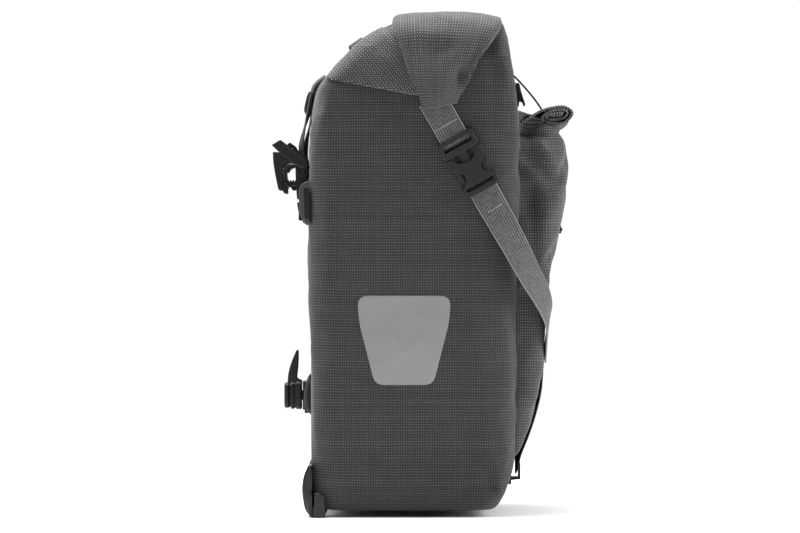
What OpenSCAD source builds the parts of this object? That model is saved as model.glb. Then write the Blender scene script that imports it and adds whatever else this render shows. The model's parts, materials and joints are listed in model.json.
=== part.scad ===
// Roll-top pannier bag with an outer pocket, two rack hooks, a lower anchor and closure straps.
// Millimetres, +Z up. The rack is on the -X side and the outer pocket on the +X side. The bag is
// mirrored about the plane Y = 0; "left" is the -Y side. Feet rest on Z = 0.

/* [Bag] */
// Depth of the main compartment, from the back panel to the front panel
bag_depth = 174; // [170:1:178]
// Width of the bag at the bottom
bottom_w = 236; // [228:1:244]
// Width of the bag at the top, under the roll
top_w = 318; // [312:1:324]
// Height of the underside of the roll above the floor
roll_z = 411; // [408:1:414]
// Thickness of the coated fabric
fabric_t = 2.4; // [2:0.2:2.8]

/* [Roll closure] */
// Width of the flat roll, from its rear edge to its front edge
roll_w = 92; // [90:1:93]
// Height of the flat roll
roll_h = 23.8; // [22:0.2:25]
// How far a folded-down roll end stands out from the side panel at the top
roll_end_t = 16; // [12:1:18]

/* [Outer pocket] */
// How far the tip of the pocket's roll stands out from the front panel
pocket_reach = 48.4; // [47:0.2:50]
// Width of the outer pocket at the bottom
pocket_bottom_w = 190; // [180:1:192]
// Width of the outer pocket at the top
pocket_top_w = 250; // [240:1:252]

/* [Webbing] */
// Width of the closure webbing
strap_w = 25; // [22:1:25]
// Thickness of the closure webbing
strap_t = 1.6; // [1.2:0.2:1.8]

/* [Rack fittings] */
// How far the hooks stand out from the back panel
rack_reach = 34.4; // [34.4:0.2:36]
// Diameter of the rack tube that the inserts fit
tube_d = 12.1; // [10:0.1:12.1]
// Distance between the two hooks, centre to centre
hook_spacing = 170; // [166:1:174]
// Width of one hook along the rack tube
hook_w = 30; // [28:1:32]
// Length of the upper rail
top_rail_l = 270; // [262:1:276]
// Length of the lower rail
lower_rail_l = 150; // [130:1:160]

/* [Hidden] */
$fn = 48;

// The origin is midway between the hooks' outermost edge and the tip of the pocket's roll.
back_x = rack_reach - (rack_reach + bag_depth + pocket_reach) / 2;
front_x = back_x + bag_depth;
foot_h = 5.6;
gap = 0.2;
fabric_colour = "#4a4a4c";
webbing_colour = "#77797b";
black_colour = "#1c1c1e";
steel_colour = "#a8a8aa";

// The side panels lean outwards from the bottom to the roll.
side_lean = atan((top_w - bottom_w) / 2 / (roll_z - foot_h));
function half_w(z) = bottom_w / 2 + (z - foot_h) * tan(side_lean);
function up_side(z) = (z - foot_h) / cos(side_lean);

// Buckle: centre on the side panel and lean of the closure webbing from vertical.
buckle_x = front_x - 38.8;
buckle_z = 305;
strap_lean = 29.6;
plug_start = 11.4;
plug_end = 27;
prong_pivot = [-10.4, 11.2];

// Rack fittings, measured from the back panel.
rail_h = 27;
top_rail_z = 254;
lower_rail_z = 89;
pivot = [-7.6, 298.6];
tube_axis = [-18.2, 300];
pin_r = 1.5;
seat_r = 7.6;
latch_w = 14;
board_t = 2;
screw_r = 2;
top_screws_y = [-top_rail_l / 2 + 15, -40, 40, top_rail_l / 2 - 15];
lower_screws_y = [-lower_rail_l / 2 + 10, lower_rail_l / 2 - 10];
anchor_z = lower_rail_z + rail_h / 2;
guard_rivet_y = bottom_w / 2 - 16;

// Side outline of the main compartment, counterclockwise from the rear bottom corner.
body_outline = [
    [back_x + 12, foot_h], [front_x - 16, foot_h], [front_x - 7, foot_h + 10],
    [front_x - 2, foot_h + 30], [front_x, foot_h + 70], [front_x + 1, 240],
    [front_x + 5, roll_z - 86], [front_x + 3, roll_z - 51], [front_x - 3, roll_z - 19],
    [front_x - 14, roll_z], [back_x + 69.5, roll_z], [back_x + 68, roll_z + 13],
    [back_x + 45, roll_z + 4], [back_x + 36, roll_z - 3], [back_x + 26, roll_z - 15],
    [back_x + 13, roll_z - 32], [back_x + 6, roll_z - 45], [back_x, roll_z - 68],
    [back_x, foot_h + 16], [back_x + 4, foot_h + 5]];

// Side outline of the outer pocket; its rear edge lies behind the front panel.
pocket_outline = [
    [front_x - 10, 50], [front_x + 0.6, 52], [front_x + 4, 59], [front_x + 11, 77],
    [front_x + 15, 96], [front_x + 19.5, 123], [front_x + 23, 146], [front_x + 28, 185],
    [front_x + 33, 211], [front_x + 38, 245], [front_x + 42, 261], [front_x + 45, 291],
    [front_x + 40, 317], [front_x + 35, 331], [front_x + 32, 337.5], [front_x + 20, 335],
    [front_x - 10, 354]];

function unit(v) = v / norm(v);
function edge_normal(p, q) = unit([q[1] - p[1], p[0] - q[0]]);

// An outline moved inwards by d; a negative d moves it outwards.
function inset(outline, d) = let (n = len(outline)) [
    for (i = [0:n - 1])
        let (before = edge_normal(outline[(i + n - 1) % n], outline[i]),
             after = edge_normal(outline[i], outline[(i + 1) % n]))
            outline[i] - d * (before + after) / (1 + before * after)];

// An outline in the XZ plane extruded along Y.
module along_y(length, y = 0)
    translate([0, y, 0]) rotate([90, 0, 0]) linear_extrude(length, center = true) children();

// A round bar along X, from x0 to x1.
module x_bar(x0, x1, y, z, r)
    translate([x0, y, z]) rotate([0, 90, 0]) cylinder(h = x1 - x0, r = r);

// A round bar along Y, centred on y.
module y_bar(x, z, r, length, y = 0)
    translate([x, y, z]) rotate([90, 0, 0]) cylinder(h = length, r = r, center = true);

// A shape at Y < 0, mirrored to the other side when side is 1.
module on(side) mirror([0, side > 0 ? 1 : 0, 0]) children();

// Everything between two leaning sides, given half widths at two heights.
module between_sides(w0, z0, w1, z1)
    rotate([90, 0, 90]) linear_extrude(800, center = true)
        polygon([[-w0, z0], [w0, z0], [w1, z1], [-w1, z1]]);

module bag_solid(d)
    intersection() {
        along_y(600) polygon(inset(body_outline, d));
        between_sides(half_w(-50) - d, -50, half_w(500) - d, 500);
    }

module pocket_solid(d)
    intersection() {
        along_y(600) polygon(inset(pocket_outline, d));
        between_sides(pocket_bottom_w / 2 - d, 52, pocket_top_w / 2 - d, 338);
    }

module rounded_rect(w, h, r) {
    square([w - 2 * r, h], center = true);
    square([w, h - 2 * r], center = true);
    for (x = [-1, 1], y = [-1, 1]) translate([x * (w / 2 - r), y * (h / 2 - r)]) circle(r);
}

module racetrack(w, h) {
    square([w - h, h], center = true);
    for (x = [-1, 1]) translate([x * (w - h) / 2, 0]) circle(h / 2);
}

module racetrack_ring(w, h, t)
    difference() {
        racetrack(w, h);
        racetrack(w - 2 * t, h - 2 * t);
    }

// The triangles between rings of n points, numbered ring by ring from 0 to last. The diagonals on
// the far half run the other way, so that a twisted band keeps its thickness.
function tube_walls(last, n) = [for (i = [0:last - 1], k = [0:n - 1])
    let (a = n * i + k, b = n * i + (k + 1) % n)
        each 2 * k < n ? [[a, b, b + n], [a, b + n, a + n]] : [[a, b, a + n], [b, b + n, a + n]]];

// A flat band through a list of centres. across holds the width direction at each centre.
module ribbon(centres, across, w, t) {
    last = len(centres) - 1;
    corners = [for (i = [0:last])
        let (along = unit(centres[min(i + 1, last)] - centres[max(i - 1, 0)]),
             wide = unit(across[i] - along * (across[i] * along)) * w / 2,
             thick = unit(cross(along, wide)) * t / 2)
            each [centres[i] - wide - thick, centres[i] + wide - thick,
                centres[i] + wide + thick, centres[i] - wide + thick]];
    polyhedron(corners, concat([[3, 2, 1, 0]], tube_walls(last, 4), [[for (k = [0:3]) 4 * last + k]]));
}

// Places a shape drawn in the left side panel: x along X, y up the panel, z outwards.
module on_side_panel()
    translate([0, -bottom_w / 2, foot_h]) rotate([90 + side_lean, 0, 0]) children();

// Places a shape drawn in the buckle's own frame: y up along the webbing, z outwards.
module on_buckle()
    on_side_panel() translate([buckle_x, up_side(buckle_z), 0]) rotate([0, 0, strap_lean]) children();

// ---- Main compartment ----

module main_shell()
    color(fabric_colour) difference() {
        bag_solid(0);
        bag_solid(fabric_t);
        // The mouth, where the two panels rise into the roll.
        translate([front_x - 62, 0, roll_z]) cube([5, top_w - 30, 20], center = true);
        for (y = top_screws_y)
            x_bar(back_x - 5, back_x + 6, y, top_rail_z + rail_h / 2, screw_r);
        for (y = lower_screws_y)
            x_bar(back_x - 5, back_x + 6, y, anchor_z, screw_r);
        for (y = [-1, 1]) x_bar(front_x - 8, front_x + 2, y * 10, 45, 1.5);
        for (y = [-1, 1]) x_bar(back_x - 5, back_x + 6, y * guard_rivet_y, 36, 1.6);
    }

// A plastic board that stiffens the back panel and carries the rails.
module back_board()
    color(black_colour) difference() {
        translate([back_x + fabric_t, -104, 70]) cube([board_t, 208, 230]);
        for (y = [-40, 40])
            x_bar(back_x, back_x + 10, y, top_rail_z + rail_h / 2, screw_r);
        for (y = lower_screws_y)
            x_bar(back_x, back_x + 10, y, anchor_z, screw_r);
    }

// A flat pocket hung on the back board, open at the top.
module inner_pocket()
    color(fabric_colour) translate([back_x + fabric_t + board_t, 0, 0]) difference() {
        translate([0, -90, 125]) cube([6, 180, 120]);
        translate([1.4, -88.4, 126.6]) cube([3.2, 176.8, 130]);
    }

// A reflective patch with rounded corners, narrower at the bottom.
module reflector(side)
    color("#a5a5a7") on(side) on_side_panel() translate([back_x + 80, up_side(115), gap])
        linear_extrude(1) hull() for (x = [-1, 1]) {
            translate([x * 31, 68]) circle(9, $fn = 32);
            translate([x * 17, 8]) circle(8, $fn = 32);
        }

// ---- Roll closure ----

roll_centre = [front_x - 57.5, roll_z + gap + roll_h / 2];
roll_half_l = top_w / 2 - 0.4;

// Fabric rolled flat in three turns, joined at the front edge where one turn runs into the next.
module roll_closure()
    color(fabric_colour) along_y(2 * roll_half_l) translate(roll_centre) {
        for (turn = [0:2])
            racetrack_ring(roll_w - 9 * turn, roll_h - 8 * turn, fabric_t);
        for (turn = [0:1]) translate([(roll_w - 9 * turn) / 2 - 3.4, 0])
            square([5, 2.4], center = true);
    }

// The stiff strip welded to the mouth, in the middle of the roll.
module roll_strip()
    color(black_colour) along_y(2 * roll_half_l - 30) translate(roll_centre)
        square([62, 2], center = true);

// One end of the roll, folded down over the side panel.
module roll_end(side)
    color(fabric_colour) on(side) on_side_panel() hull() {
        translate([back_x + 71, up_side(roll_z), 0.3]) cube([89, 20, roll_end_t]);
        translate([back_x + 95.5, up_side(353), 0.3]) cube([30, 3, 5.7]);
    }

// ---- Closure straps and side-release buckles ----

// The short webbing from the roll end to the plug.
module upper_strap(side)
    color(webbing_colour) on(side) on_buckle()
        ribbon([[0, 62, 3.4], [0, 36, 4.6], [0, 20, 5.2]],
            [[1, 0, 0], [1, 0, 0], [1, 0, 0]], strap_w, strap_t);

module buckle_plug(side)
    color(black_colour) on(side) on_buckle() {
        translate([0, 0, 1]) linear_extrude(8.4) difference() {
            translate([0, (plug_start + plug_end) / 2])
                rounded_rect(33, plug_end - plug_start, 2.5);
            translate([0, 19.4]) square([26, 4.6], center = true);
            for (x = [-1, 1]) translate([x * prong_pivot[0], prong_pivot[1]]) circle(2.2);
        }
        translate([-4.2, -8, 3.8]) cube([8.4, 20, 2.8]);
    }

// One spring arm of the plug, with a round root. The rear arm is drawn; the front arm is its
// mirror image.
module prong(side, front)
    color(black_colour) on(side) on_buckle() mirror([front, 0, 0]) translate([0, 0, 3.2])
        linear_extrude(4) {
            translate(prong_pivot) circle(2);
            polygon([prong_pivot + [2, 0], prong_pivot - [2, 0], [-12.5, 4], [-13, 0],
                [-14.3, -4], [-14.3, -9], [-12.8, -12.6], [-10.6, -14.6], [-9, -13.6],
                [-9.2, -9], [-9.6, -4], [-9, 2]]);
        }

// Right half of the socket's outline, from the top down to the webbing end.
socket_half = [[16.5, 10.9], [16.5, 2.5], [12.5, -1], [9, -4.5], [8, -8], [9, -11.5],
    [12.8, -14.4], [16.2, -16.8], [16.2, -23.4], [13, -26]];

module buckle_socket(side)
    color("#2a2b2d") on(side) on_buckle() difference() {
        translate([0, 0, 1]) linear_extrude(8.4)
            polygon(concat(socket_half, [for (i = [9:-1:0]) [-socket_half[i][0], socket_half[i][1]]]));
        // The chamber for the plug and its arms, open at the top and at the waist.
        translate([-14.6, -15.4, 3]) cube([29.2, 30, 4.4]);
        translate([0, 0, 7]) linear_extrude(4)
            polygon([[-11.5, 12], [-9.4, 6], [-5, 2.9], [0, 2], [5, 2.9], [9.4, 6], [11.5, 12]]);
        // The webbing slot and the way into it from below, and a shallow thumb dimple.
        translate([0, -20, 5]) cube([26, 3.2, 20], center = true);
        translate([-12.9, -30, 3.6]) cube([25.8, 9, 2.6]);
        translate([0, -8.6, 9]) cylinder(h = 2, r = 4.6);
    }

// The outer webbing from the socket round the front edge and inwards over the pocket.
lower_centres = [
    [front_x - 28.2, -half_w(286) - 5, 286], [front_x - 14, -half_w(261) - 4.4, 261],
    [front_x - 1, -half_w(238) - 5, 238], [front_x + 13, -137.5, 212],
    [front_x + 25.5, -121.5, 190], [front_x + 30.8, -109, 176], [front_x + 31, -97, 165],
    [front_x + 29, -76, 141]];
lower_across = [for (i = [0:7]) [0.87, -0.05, 0.49] * (1 - i / 7) + [0, 0.75, 0.66] * (i / 7)];

module lower_strap(side)
    color(webbing_colour) on(side) ribbon(lower_centres, lower_across, strap_w, strap_t);

// The shoulder strap, hooked at the bottom of the front panel; its two ends rise to the webbing.
shoulder_half = [[27, -78, 143.5], [25.6, -57, 116], [21, -39, 93.5], [15, -24, 74], [8.6, -11, 56]];
shoulder_centres = concat(
    [for (p = shoulder_half) p + [front_x, 0, 0]],
    [[front_x + 5, 0, 44.5]],
    [for (i = [4:-1:0]) [shoulder_half[i][0] + front_x, -shoulder_half[i][1], shoulder_half[i][2]]]);
shoulder_across = concat(
    [for (i = [0:4]) [0, 0.75, 0.66]], [[0, 0, 1]], [for (i = [0:4]) [0, -0.75, 0.66]]);

module shoulder_strap()
    color(black_colour) ribbon(shoulder_centres, shoulder_across, strap_w, strap_t);

// The hook at the bottom of the front panel that the shoulder strap runs behind.
module strap_anchor()
    color(black_colour) difference() {
        union() {
            along_y(30) polygon([[front_x - 3, 24], [front_x + 1, 24], [front_x + 2, 50.6],
                [front_x - 3, 50.6]]);
            along_y(12) polygon([[front_x, 27], [front_x + 9.4, 28], [front_x + 9.4, 42],
                [front_x + 7.6, 42], [front_x + 7, 30.4], [front_x, 30.4]]);
        }
        bag_solid(-gap);
        for (y = [-1, 1]) x_bar(front_x - 8, front_x + 3, y * 10, 45, 1.5);
    }

module strap_anchor_rivets()
    color(steel_colour) for (y = [-1, 1]) {
        x_bar(front_x - 5.6, front_x + 1.8, y * 10, 45, 1.5);
        x_bar(front_x - 6, front_x - 4.8, y * 10, 45, 3);
    }

// ---- Outer pocket ----

// A fabric sheet welded to the front panel, which closes its rear.
module outer_pocket()
    color(fabric_colour) difference() {
        pocket_solid(0);
        pocket_solid(fabric_t);
        bag_solid(-gap);
    }

// The pocket's mouth, rolled up and tilted.
module pocket_roll()
    color(fabric_colour) along_y(pocket_top_w - 6)
        translate([front_x + pocket_reach - 6 - 6.4 * cos(10), 345.5]) rotate(10) {
            racetrack_ring(24.8, 12, 2);
            racetrack_ring(19, 6.2, 1.6);
            translate([-10.2, 0]) square([4, 1.6], center = true);
        }

// A hook above the pocket that its closing strap can be hung on.
module pocket_hook()
    color(black_colour) difference() {
        along_y(14) polygon([[front_x - 2, 351], [front_x + 5.6, 351], [front_x + 5.4, 361],
            [front_x + 8, 355], [front_x + 10, 356], [front_x + 9.4, 365],
            [front_x + 5, 373], [front_x - 2, 373]]);
        bag_solid(-gap);
    }

// The pocket's closing strap, from the front panel down to the pocket's roll.
module pocket_strap()
    color(black_colour) ribbon(
        [[front_x + 0.4, 0, 383], [front_x + 12, 0, 370], [front_x + 19, 0, 361],
            [front_x + 22.6, 0, 354]],
        [for (i = [0:3]) [0, 1, 0]], 15, 1);

module pocket_clip()
    color(black_colour) difference() {
        along_y(22) polygon([[front_x + 36, 242], [front_x + 40, 243], [front_x + 43.6, 248],
            [front_x + 44, 254], [front_x + 40, 258]]);
        pocket_solid(-gap);
    }

// ---- Carrying loop and tab on the back ----

module carry_loop()
    color(black_colour) ribbon(
        [for (i = [-5:5]) let (lift = 1.6 + 5 * (1 - pow(abs(i) / 5, 4)))
            [back_x + 39 - 0.57 * lift, 15 * i, roll_z + 0.5 + 0.82 * lift]],
        [for (i = [-5:5]) [0.82, 0, 0.57]], 14, 1.4);

// A folded webbing tab above the handle.
module back_tab()
    color(webbing_colour) along_y(40) difference() {
        translate([back_x + 5.5, roll_z - 38]) rotate(62) racetrack(12.4, 7);
        polygon(inset(body_outline, -gap));
    }

// ---- Rails, hooks and latches on the back ----

// A channel with an undercut slot, 6.6 deep, from z0 up.
module rail(z0, length, screws_y)
    color(black_colour) translate([back_x, 0, z0]) difference() {
        along_y(length) polygon([[-gap, 0], [-gap, rail_h], [-6.6, rail_h], [-6.6, 19],
            [-4.8, 19], [-4.8, 23.5], [-2.2, 23.5], [-2.2, 3.5], [-4.8, 3.5], [-4.8, 8],
            [-6.6, 8], [-6.6, 0]]);
        for (y = screws_y) {
            x_bar(-5, 1, y, rail_h / 2, screw_r);
            x_bar(-3.2, -1, y, rail_h / 2, 3.6);
        }
    }

// A T-shaped runner that slides in a rail whose foot is at z0.
module runner(z0, width)
    translate([0, 0, z0]) along_y(width) polygon([[-2.6, 4], [-2.6, 23], [-4.4, 23],
        [-4.4, 18.6], [-7.4, 18.6], [-7.4, 8.4], [-4.4, 8.4], [-4.4, 4]]);

module screws(z, ys, length)
    color(steel_colour) for (y = ys) {
        x_bar(back_x - 2.2, back_x + length, y, z, screw_r);
        x_bar(back_x - 2.2, back_x - 1, y, z, 3.6);
    }

// Hexagon nuts on the screws; a nut without the board behind it sits on the fabric.
module nuts(z, ys)
    color(steel_colour) for (y = ys)
        translate([back_x + fabric_t + (abs(y) < 100 ? board_t : 0), y, z]) rotate([0, 90, 0])
            difference() {
                cylinder(h = 3, r = 4, $fn = 6);
                translate([0, 0, -1]) cylinder(h = 5, r = screw_r);
            }

hook_outline = concat(
    [[-11, 256], [-7, 256], [-7, 281.8], [-3.2, 281.8], [-3.2, 308], [-27, 326.4],
        [-rack_reach, 321.6], [-33.5, 300], [-30, 285], [-27.8, 282.2], [-25.8, 284]],
    [for (a = [180:-10:0]) tube_axis + seat_r * [cos(a), sin(a)]]);

// A rack hook: an arm over the tube, a seat for the insert, cheeks for the latch, and the runner.
module hook(side)
    color(black_colour) on(side) translate([back_x, -hook_spacing / 2, 0]) {
        difference() {
            along_y(hook_w) polygon(hook_outline);
            y_bar(tube_axis[0], tube_axis[1], seat_r, hook_w + 2);
            y_bar(pivot[0], pivot[1], pin_r, hook_w + 2);
            // The slot that the latch turns in.
            translate([-12, -latch_w / 2 - 0.3, 279.5]) cube([12, latch_w + 0.6, 26.5]);
        }
        runner(top_rail_z, hook_w - 4);
    }

// A lining that sits in the hook's seat and sets the size of tube that it fits.
module tube_insert(side)
    color("#3a3b3d") on(side) translate([back_x + tube_axis[0], -hook_spacing / 2, tube_axis[1]])
        along_y(hook_w) difference() {
            circle(seat_r - 0.02);
            circle(tube_d / 2);
            polygon([[0, 0], 20 * [cos(15), sin(15)], [20, -20], [-20, -20],
                20 * [-cos(15), sin(15)]]);
        }

// The latch: a hub, a toothed claw that closes the hook, and an ear for the handle strap.
module latch(side)
    color("#2a2b2d") on(side) translate([back_x, -hook_spacing / 2, 0]) difference() {
        union() {
            y_bar(pivot[0], pivot[1], 3.2, latch_w);
            along_y(latch_w) {
                polygon([[-10.5, 298], [-4.6, 297], [-6, 290], [-8.4, 287.5], [-20, 287.5],
                    [-23.6, 289.5], [-23.6, 291], [-10.4, 290.6]]);
                polygon([[-6, 296], [-1.6, 298], [-1.6, 301.2], [-6, 301.2]]);
            }
            for (i = [0:4]) along_y(latch_w - 2)
                polygon([[-22.8 + 2.4 * i, 290.4], [-20.8 + 2.4 * i, 290.4], [-22.8 + 2.4 * i, 292.2]]);
        }
        y_bar(pivot[0], pivot[1], pin_r + 0.08, latch_w + 2);
        y_bar(pivot[0], pivot[1], 2.6, 3.4, -latch_w / 2 + 1.2);
    }

module latch_pin(side)
    color(steel_colour) on(side)
        y_bar(back_x + pivot[0], pivot[1], pin_r, hook_w - 1, -hook_spacing / 2);

// A coil round the pin, in the counterbore of the latch.
module latch_spring(side) {
    wire = 0.28;
    coil_r = 2.07;
    turns = 3;
    steps = 12 * turns;
    pitch = 0.72;
    rings = [for (i = [0:steps], k = [0:4])
        let (a = 30 * i, b = -72 * k, r = coil_r + wire * cos(b))
            [r * cos(a), pitch * i / 12 + wire * sin(b), r * sin(a)]];
    color(steel_colour) on(side)
        translate([back_x + pivot[0], -hook_spacing / 2 - latch_w / 2 + 0.3, pivot[1]])
            polyhedron(rings, concat([[for (k = [4:-1:0]) k]], tube_walls(steps, 5),
                [[for (k = [0:4]) 5 * steps + k]]));
}

// ---- Pull handle ----

grip_z = 361;
grip_x = back_x - 4.4;

// A hollow sleeve that the two handle straps run into.
module handle_grip()
    color(black_colour) translate([grip_x, 0, grip_z]) rotate([90, 0, 0])
        linear_extrude(80, center = true) difference() {
            rounded_rect(7, 20, 3);
            rounded_rect(3.4, 16, 0.8);
        }

// The webbing from one latch up into the sleeve.
module handle_strap(side)
    color(black_colour) on(side) ribbon(
        [[back_x - 1.6, -hook_spacing / 2, 302.2], [back_x - 2.4, -hook_spacing / 2 + 0.5, 312],
            [back_x - 5.4, -hook_spacing / 2 + 3, 326], [back_x - 6.4, -hook_spacing / 2 + 9, 340],
            [back_x - 5, -hook_spacing / 2 + 18, 352], [grip_x, -hook_spacing / 2 + 32, grip_z],
            [grip_x, -22, grip_z]],
        [[0, 1, 0], [-0.05, 1, -0.05], [-0.3, 1, -0.1], [-0.2, 1, -0.35], [0, 1, -0.9], [0, 0.2, -1],
            [0, 0, -1]], 14, 1.4);

// ---- Lower anchor ----

module lower_slider()
    color(black_colour) difference() {
        union() {
            translate([back_x, 0, 0]) runner(lower_rail_z, 24);
            translate([back_x - 9.6, -12, anchor_z - 12.5]) cube([2.6, 24, 25]);
            x_bar(back_x - 19, back_x - 9, 0, anchor_z, 4.4);
        }
        x_bar(back_x - 20, back_x - 4, 0, anchor_z, 1.8);
    }

// A block that turns on the slider's stud, with a tapered finger that stands behind a rack stay.
module lower_anchor()
    color(black_colour) translate([back_x, 0, anchor_z]) difference() {
        union() {
            translate([-23, 0, 0]) rotate([90, 0, 90]) linear_extrude(13) rounded_rect(26, 23, 4);
            along_y(16) polygon([[-19, 9], [-10.6, 9], [-11.2, 38], [-11.8, 40.4], [-12.8, 40]]);
        }
        x_bar(-24, -9, 0, 0, 4.48);
        x_bar(-24, -18.9, 0, 0, 6.2);
    }

module anchor_screw()
    color(steel_colour) difference() {
        union() {
            x_bar(back_x - 20, back_x - 5, 0, anchor_z, 1.8);
            x_bar(back_x - 22.4, back_x - 19.1, 0, anchor_z, 5.6);
        }
        x_bar(back_x - 24, back_x - 20.6, 0, anchor_z, 2.4, $fn = 6);
    }

// ---- Corner guards ----

// A moulded shoe round the rear bottom corner, with a foot and a tab on the side panel.
module corner_guard(side)
    color(black_colour) on(side) difference() {
        union() {
            along_y(36, -bottom_w / 2 + 16) polygon([[back_x - 2.4, 45], [back_x - 6, 38],
                [back_x - 8, 28], [back_x - 8, 19], [back_x - 5.4, 7], [back_x, 0],
                [back_x + 10, 0], [back_x + 14, foot_h], [back_x + 6, 20], [back_x + 6, 45]]);
            translate([back_x, -bottom_w / 2 - 5, 0]) cube([10, 6, 22]);
        }
        bag_solid(-gap);
        x_bar(back_x - 20, back_x + 6, -guard_rivet_y, 36, 1.6);
    }

module corner_guard_rivets()
    color(steel_colour) for (y = [-1, 1]) {
        x_bar(back_x - 6, back_x + 3.4, y * guard_rivet_y, 36, 1.6);
        x_bar(back_x + fabric_t, back_x + 3.6, y * guard_rivet_y, 36, 3.4);
    }

main_shell();
back_board();
inner_pocket();
reflector(-1);  // reflector_left
reflector(1);  // reflector_right
roll_closure();
roll_strip();
roll_end(-1);  // roll_end_left
roll_end(1);  // roll_end_right
upper_strap(-1);  // upper_strap_left
upper_strap(1);  // upper_strap_right
buckle_plug(-1);  // buckle_plug_left
buckle_plug(1);  // buckle_plug_right
prong(-1, 0);  // prong_left_rear
prong(-1, 1);  // prong_left_front
prong(1, 0);  // prong_right_rear
prong(1, 1);  // prong_right_front
buckle_socket(-1);  // buckle_socket_left
buckle_socket(1);  // buckle_socket_right
lower_strap(-1);  // lower_strap_left
lower_strap(1);  // lower_strap_right
shoulder_strap();
strap_anchor();
strap_anchor_rivets();
outer_pocket();
pocket_roll();
pocket_hook();
pocket_strap();
pocket_clip();
carry_loop();
back_tab();
rail(top_rail_z, top_rail_l, top_screws_y);  // top_rail
screws(top_rail_z + rail_h / 2, top_screws_y, 7);  // top_rail_screws
nuts(top_rail_z + rail_h / 2, top_screws_y);  // top_rail_nuts
hook(-1);  // hook_left
hook(1);  // hook_right
tube_insert(-1);  // tube_insert_left
tube_insert(1);  // tube_insert_right
latch(-1);  // latch_left
latch(1);  // latch_right
latch_pin(-1);  // latch_pin_left
latch_pin(1);  // latch_pin_right
latch_spring(-1);  // latch_spring_left
latch_spring(1);  // latch_spring_right
handle_grip();
handle_strap(-1);  // handle_strap_left
handle_strap(1);  // handle_strap_right
rail(lower_rail_z, lower_rail_l, lower_screws_y);  // lower_rail
screws(anchor_z, lower_screws_y, 7);  // lower_rail_screws
nuts(anchor_z, lower_screws_y);  // lower_rail_nuts
lower_slider();
lower_anchor();
anchor_screw();
corner_guard(-1);  // corner_guard_left
corner_guard(1);  // corner_guard_right
corner_guard_rivets();
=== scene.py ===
import json
import math

import bpy
import numpy as np
from mathutils import Matrix, Vector
from mathutils.bvhtree import BVHTree


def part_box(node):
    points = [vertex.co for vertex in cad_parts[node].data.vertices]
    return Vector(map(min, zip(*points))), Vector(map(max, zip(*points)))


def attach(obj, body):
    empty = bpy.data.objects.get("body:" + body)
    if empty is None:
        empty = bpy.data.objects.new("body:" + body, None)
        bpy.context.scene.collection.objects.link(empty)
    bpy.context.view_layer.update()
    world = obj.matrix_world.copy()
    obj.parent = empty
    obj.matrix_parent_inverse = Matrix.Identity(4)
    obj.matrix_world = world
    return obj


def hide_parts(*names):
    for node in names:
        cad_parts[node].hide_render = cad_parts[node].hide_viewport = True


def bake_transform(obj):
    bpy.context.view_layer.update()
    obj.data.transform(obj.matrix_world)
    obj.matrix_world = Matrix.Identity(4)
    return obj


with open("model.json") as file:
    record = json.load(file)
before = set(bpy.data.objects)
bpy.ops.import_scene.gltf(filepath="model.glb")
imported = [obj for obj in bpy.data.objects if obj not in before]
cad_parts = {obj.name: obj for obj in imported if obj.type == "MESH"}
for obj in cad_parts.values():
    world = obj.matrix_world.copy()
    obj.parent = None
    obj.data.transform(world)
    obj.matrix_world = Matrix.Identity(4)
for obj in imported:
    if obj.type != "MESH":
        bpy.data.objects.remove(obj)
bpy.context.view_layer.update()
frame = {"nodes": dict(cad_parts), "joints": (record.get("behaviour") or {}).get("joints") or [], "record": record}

MM = 0.001
SIDES = {"left": -1, "right": 1}
JOINTS = {j["name"]: j for j in frame["joints"]}

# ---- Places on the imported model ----
SHELL_LO, SHELL_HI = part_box("main_shell")
POCKET_LO, POCKET_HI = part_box("outer_pocket")
ROLL_LO, ROLL_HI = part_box("roll_closure")
BACK = SHELL_LO.x
FRONT = SHELL_HI.x - 5 * MM
BASE = SHELL_LO.z
BOTTOM_HALF = 118 * MM
SIDE_SLOPE = (SHELL_HI.y - BOTTOM_HALF) / (SHELL_HI.z - BASE)
SIDE_LEAN = math.atan(SIDE_SLOPE)


# ---- Number helpers ----

def smooth(t):
    t = np.clip(t, 0.0, 1.0)
    return t * t * (3 - 2 * t)


def spline(points, count):
    """Points on a smooth curve through a list of points."""
    known = np.array(points, float)
    padded = np.vstack([2 * known[0] - known[1], known, 2 * known[-1] - known[-2]])
    t = np.linspace(0, len(known) - 1, count)
    i = np.minimum(t.astype(int), len(known) - 2)
    f = (t - i)[:, None]
    p0, p1, p2, p3 = padded[i], padded[i + 1], padded[i + 2], padded[i + 3]
    linear = (p2 - p0) * f
    square = (2 * p0 - 5 * p1 + 4 * p2 - p3) * f ** 2
    cube = (3 * p1 - p0 - 3 * p2 + p3) * f ** 3
    return 0.5 * (2 * p1 + linear + square + cube)


def even(points, step, dims=3):
    """A smooth curve through points, spaced evenly along its first dims coordinates."""
    dense = spline(points, 40 * len(points))
    gone = np.linalg.norm(np.diff(dense[:, :dims], axis=0), axis=1)
    along = np.concatenate([[0], np.cumsum(gone)])
    wanted = np.linspace(0, along[-1], max(3, int(round(along[-1] / step)) + 1))
    columns = [np.interp(wanted, along, dense[:, k]) for k in range(dense.shape[1])]
    return np.column_stack(columns), wanted


def profile(table):
    """A smooth function of height from (height, value) pairs in millimetres."""
    dense = spline(table, 30 * len(table)) * MM
    return lambda z: np.interp(z, dense[:, 0], dense[:, 1])


def ripple(points, scale, seed):
    """Smooth waves of about one unit, built from a fixed set of directions."""
    rng = np.random.default_rng(seed)
    total = 0
    for _ in range(9):
        direction = rng.normal(size=3)
        direction *= rng.uniform(0.6, 1.6) * 2 * math.pi / (scale * np.linalg.norm(direction))
        total = total + np.sin(points @ direction + rng.uniform(0, 2 * math.pi))
    return total / 3.0


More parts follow.
